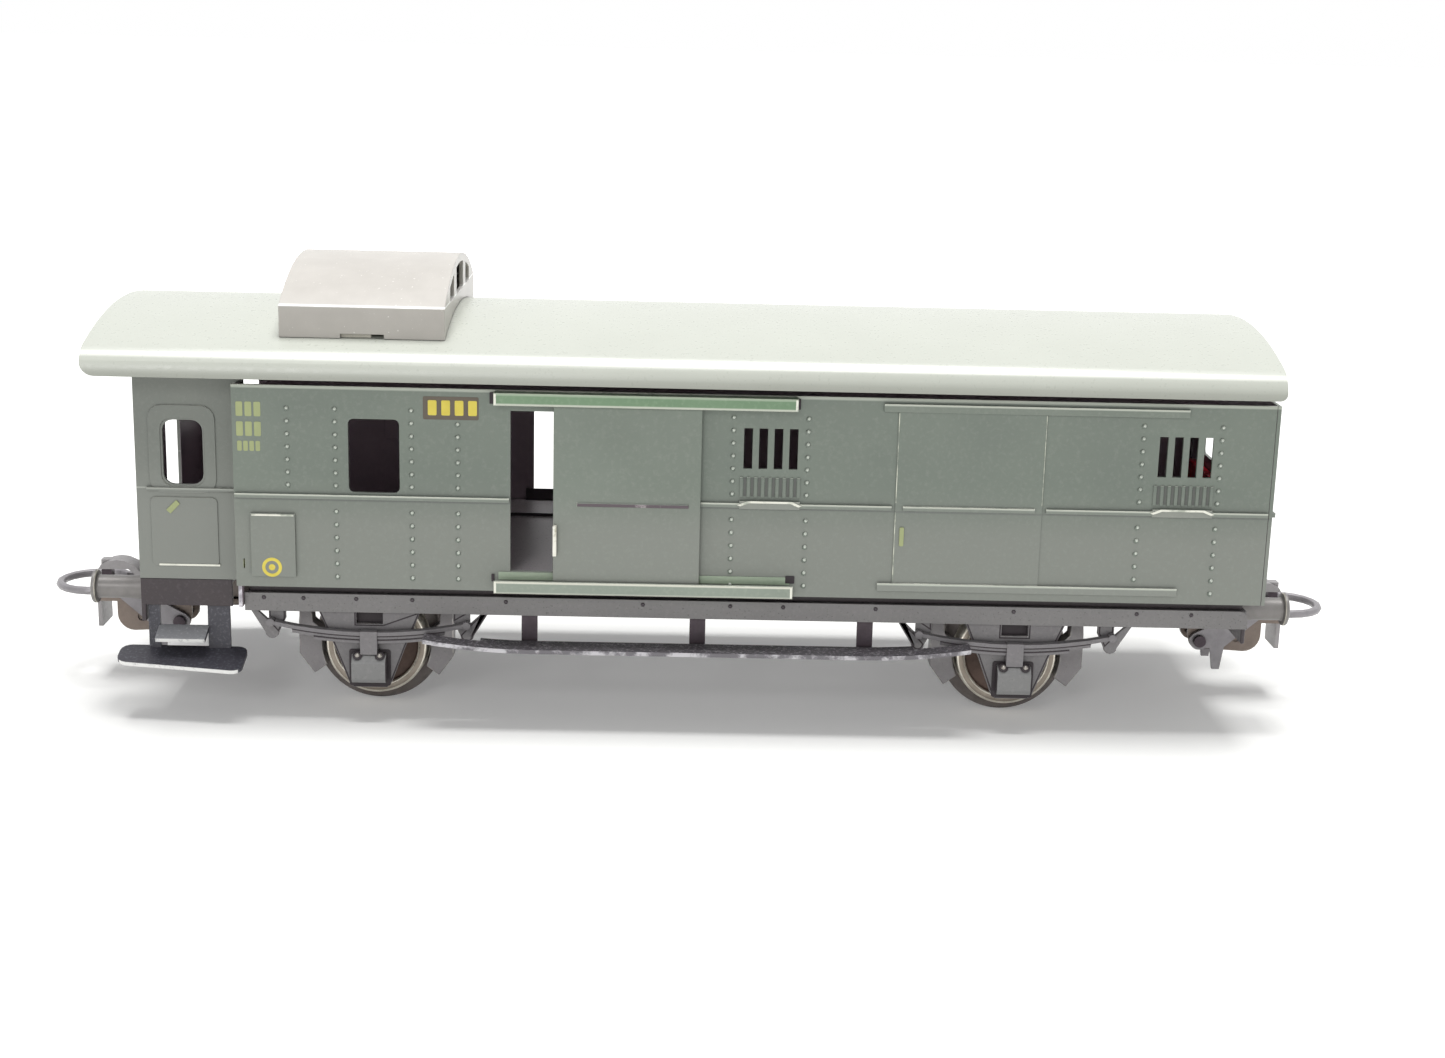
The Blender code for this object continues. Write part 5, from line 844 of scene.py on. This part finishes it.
fade = addNode(floorTree, "ShaderNodeMapRange",
               {"Value": away, "From Min": stageSize["fadeFrom"], "From Max": stageSize["fadeTo"],
                "To Min": stageSize["lift"]}, interpolation_type="SMOOTHSTEP").outputs["Result"]
white = addNode(floorTree, "ShaderNodeMath", {0: fade, 1: whiteRays(floorTree)}, operation="MULTIPLY")
glow = addNode(floorTree, "ShaderNodeEmission", {"Color": (1, 1, 1, 1), "Strength": white.outputs["Value"]})
together = addNode(floorTree, "ShaderNodeAddShader", {0: floorShader.outputs["BSDF"],
                                                      1: glow.outputs["Emission"]})
floorTree.links.new(together.outputs["Shader"], floorTree.nodes["Material Output"].inputs["Surface"])
floorMesh.materials.append(floorMaterial)

worldLevel = 0.34
world = bpy.data.worlds.new("studio world")
bpy.context.scene.world = world
world.use_nodes = True
worldTree = world.node_tree
background = worldTree.nodes["Background"]
level = addNode(worldTree, "ShaderNodeMapRange", {"Value": whiteRays(worldTree), "To Min": worldLevel,
                                                  "To Max": 1.0})
worldTree.links.new(level.outputs["Result"], background.inputs["Strength"])
background.inputs["Color"].default_value = (1, 1, 1, 1)

# a wide softbox above, and a small one in front: place and target in metres, size and power
lamps = {"top": ((0.0, 0.03, 0.85), (0, 0, 0), 0.42, 9.0),
         "front": ((-0.22, -0.8, 0.42), (0, 0, 0.02), 0.2, 1.3)}
for name, (place, target, size, power) in lamps.items():
    light = bpy.data.lights.new(name + " softbox", "AREA")
    light.size = size
    light.energy = power
    lamp = newObject(name + "_softbox", light)
    lamp.location = place
    lamp.rotation_euler = (Vector(target) - Vector(place)).to_track_quat("-Z", "Y").to_euler()

# the photo's camera: place in millimetres, turns in degrees
shot = {"place": (-1.567, -206.936, 67.123), "yaw": -1.2216, "down": 13.9015, "roll": -1.4518,
        "lens": 52.776}
cameraData = bpy.data.cameras.new("photo camera")
cameraData.lens = shot["lens"]
cameraData.sensor_width = 36
cameraData.clip_start = 0.005
camera = newObject("photo_camera", cameraData)
aim = (Matrix.Rotation(math.radians(shot["yaw"]), 3, "Z")
       @ Matrix.Rotation(-math.radians(shot["down"]), 3, "X")
       @ Matrix.Rotation(math.radians(shot["roll"]), 3, "Y"))
right, forward, up = aim.col[0], aim.col[1], aim.col[2]
camera.matrix_world = Matrix.Translation(Vector(shot["place"]) * mm) @ Matrix(
    (right, up, -forward)).transposed().to_4x4()
bpy.context.scene.camera = camera
bpy.context.scene.view_settings.view_transform = "Standard"

print("stage, light and camera")
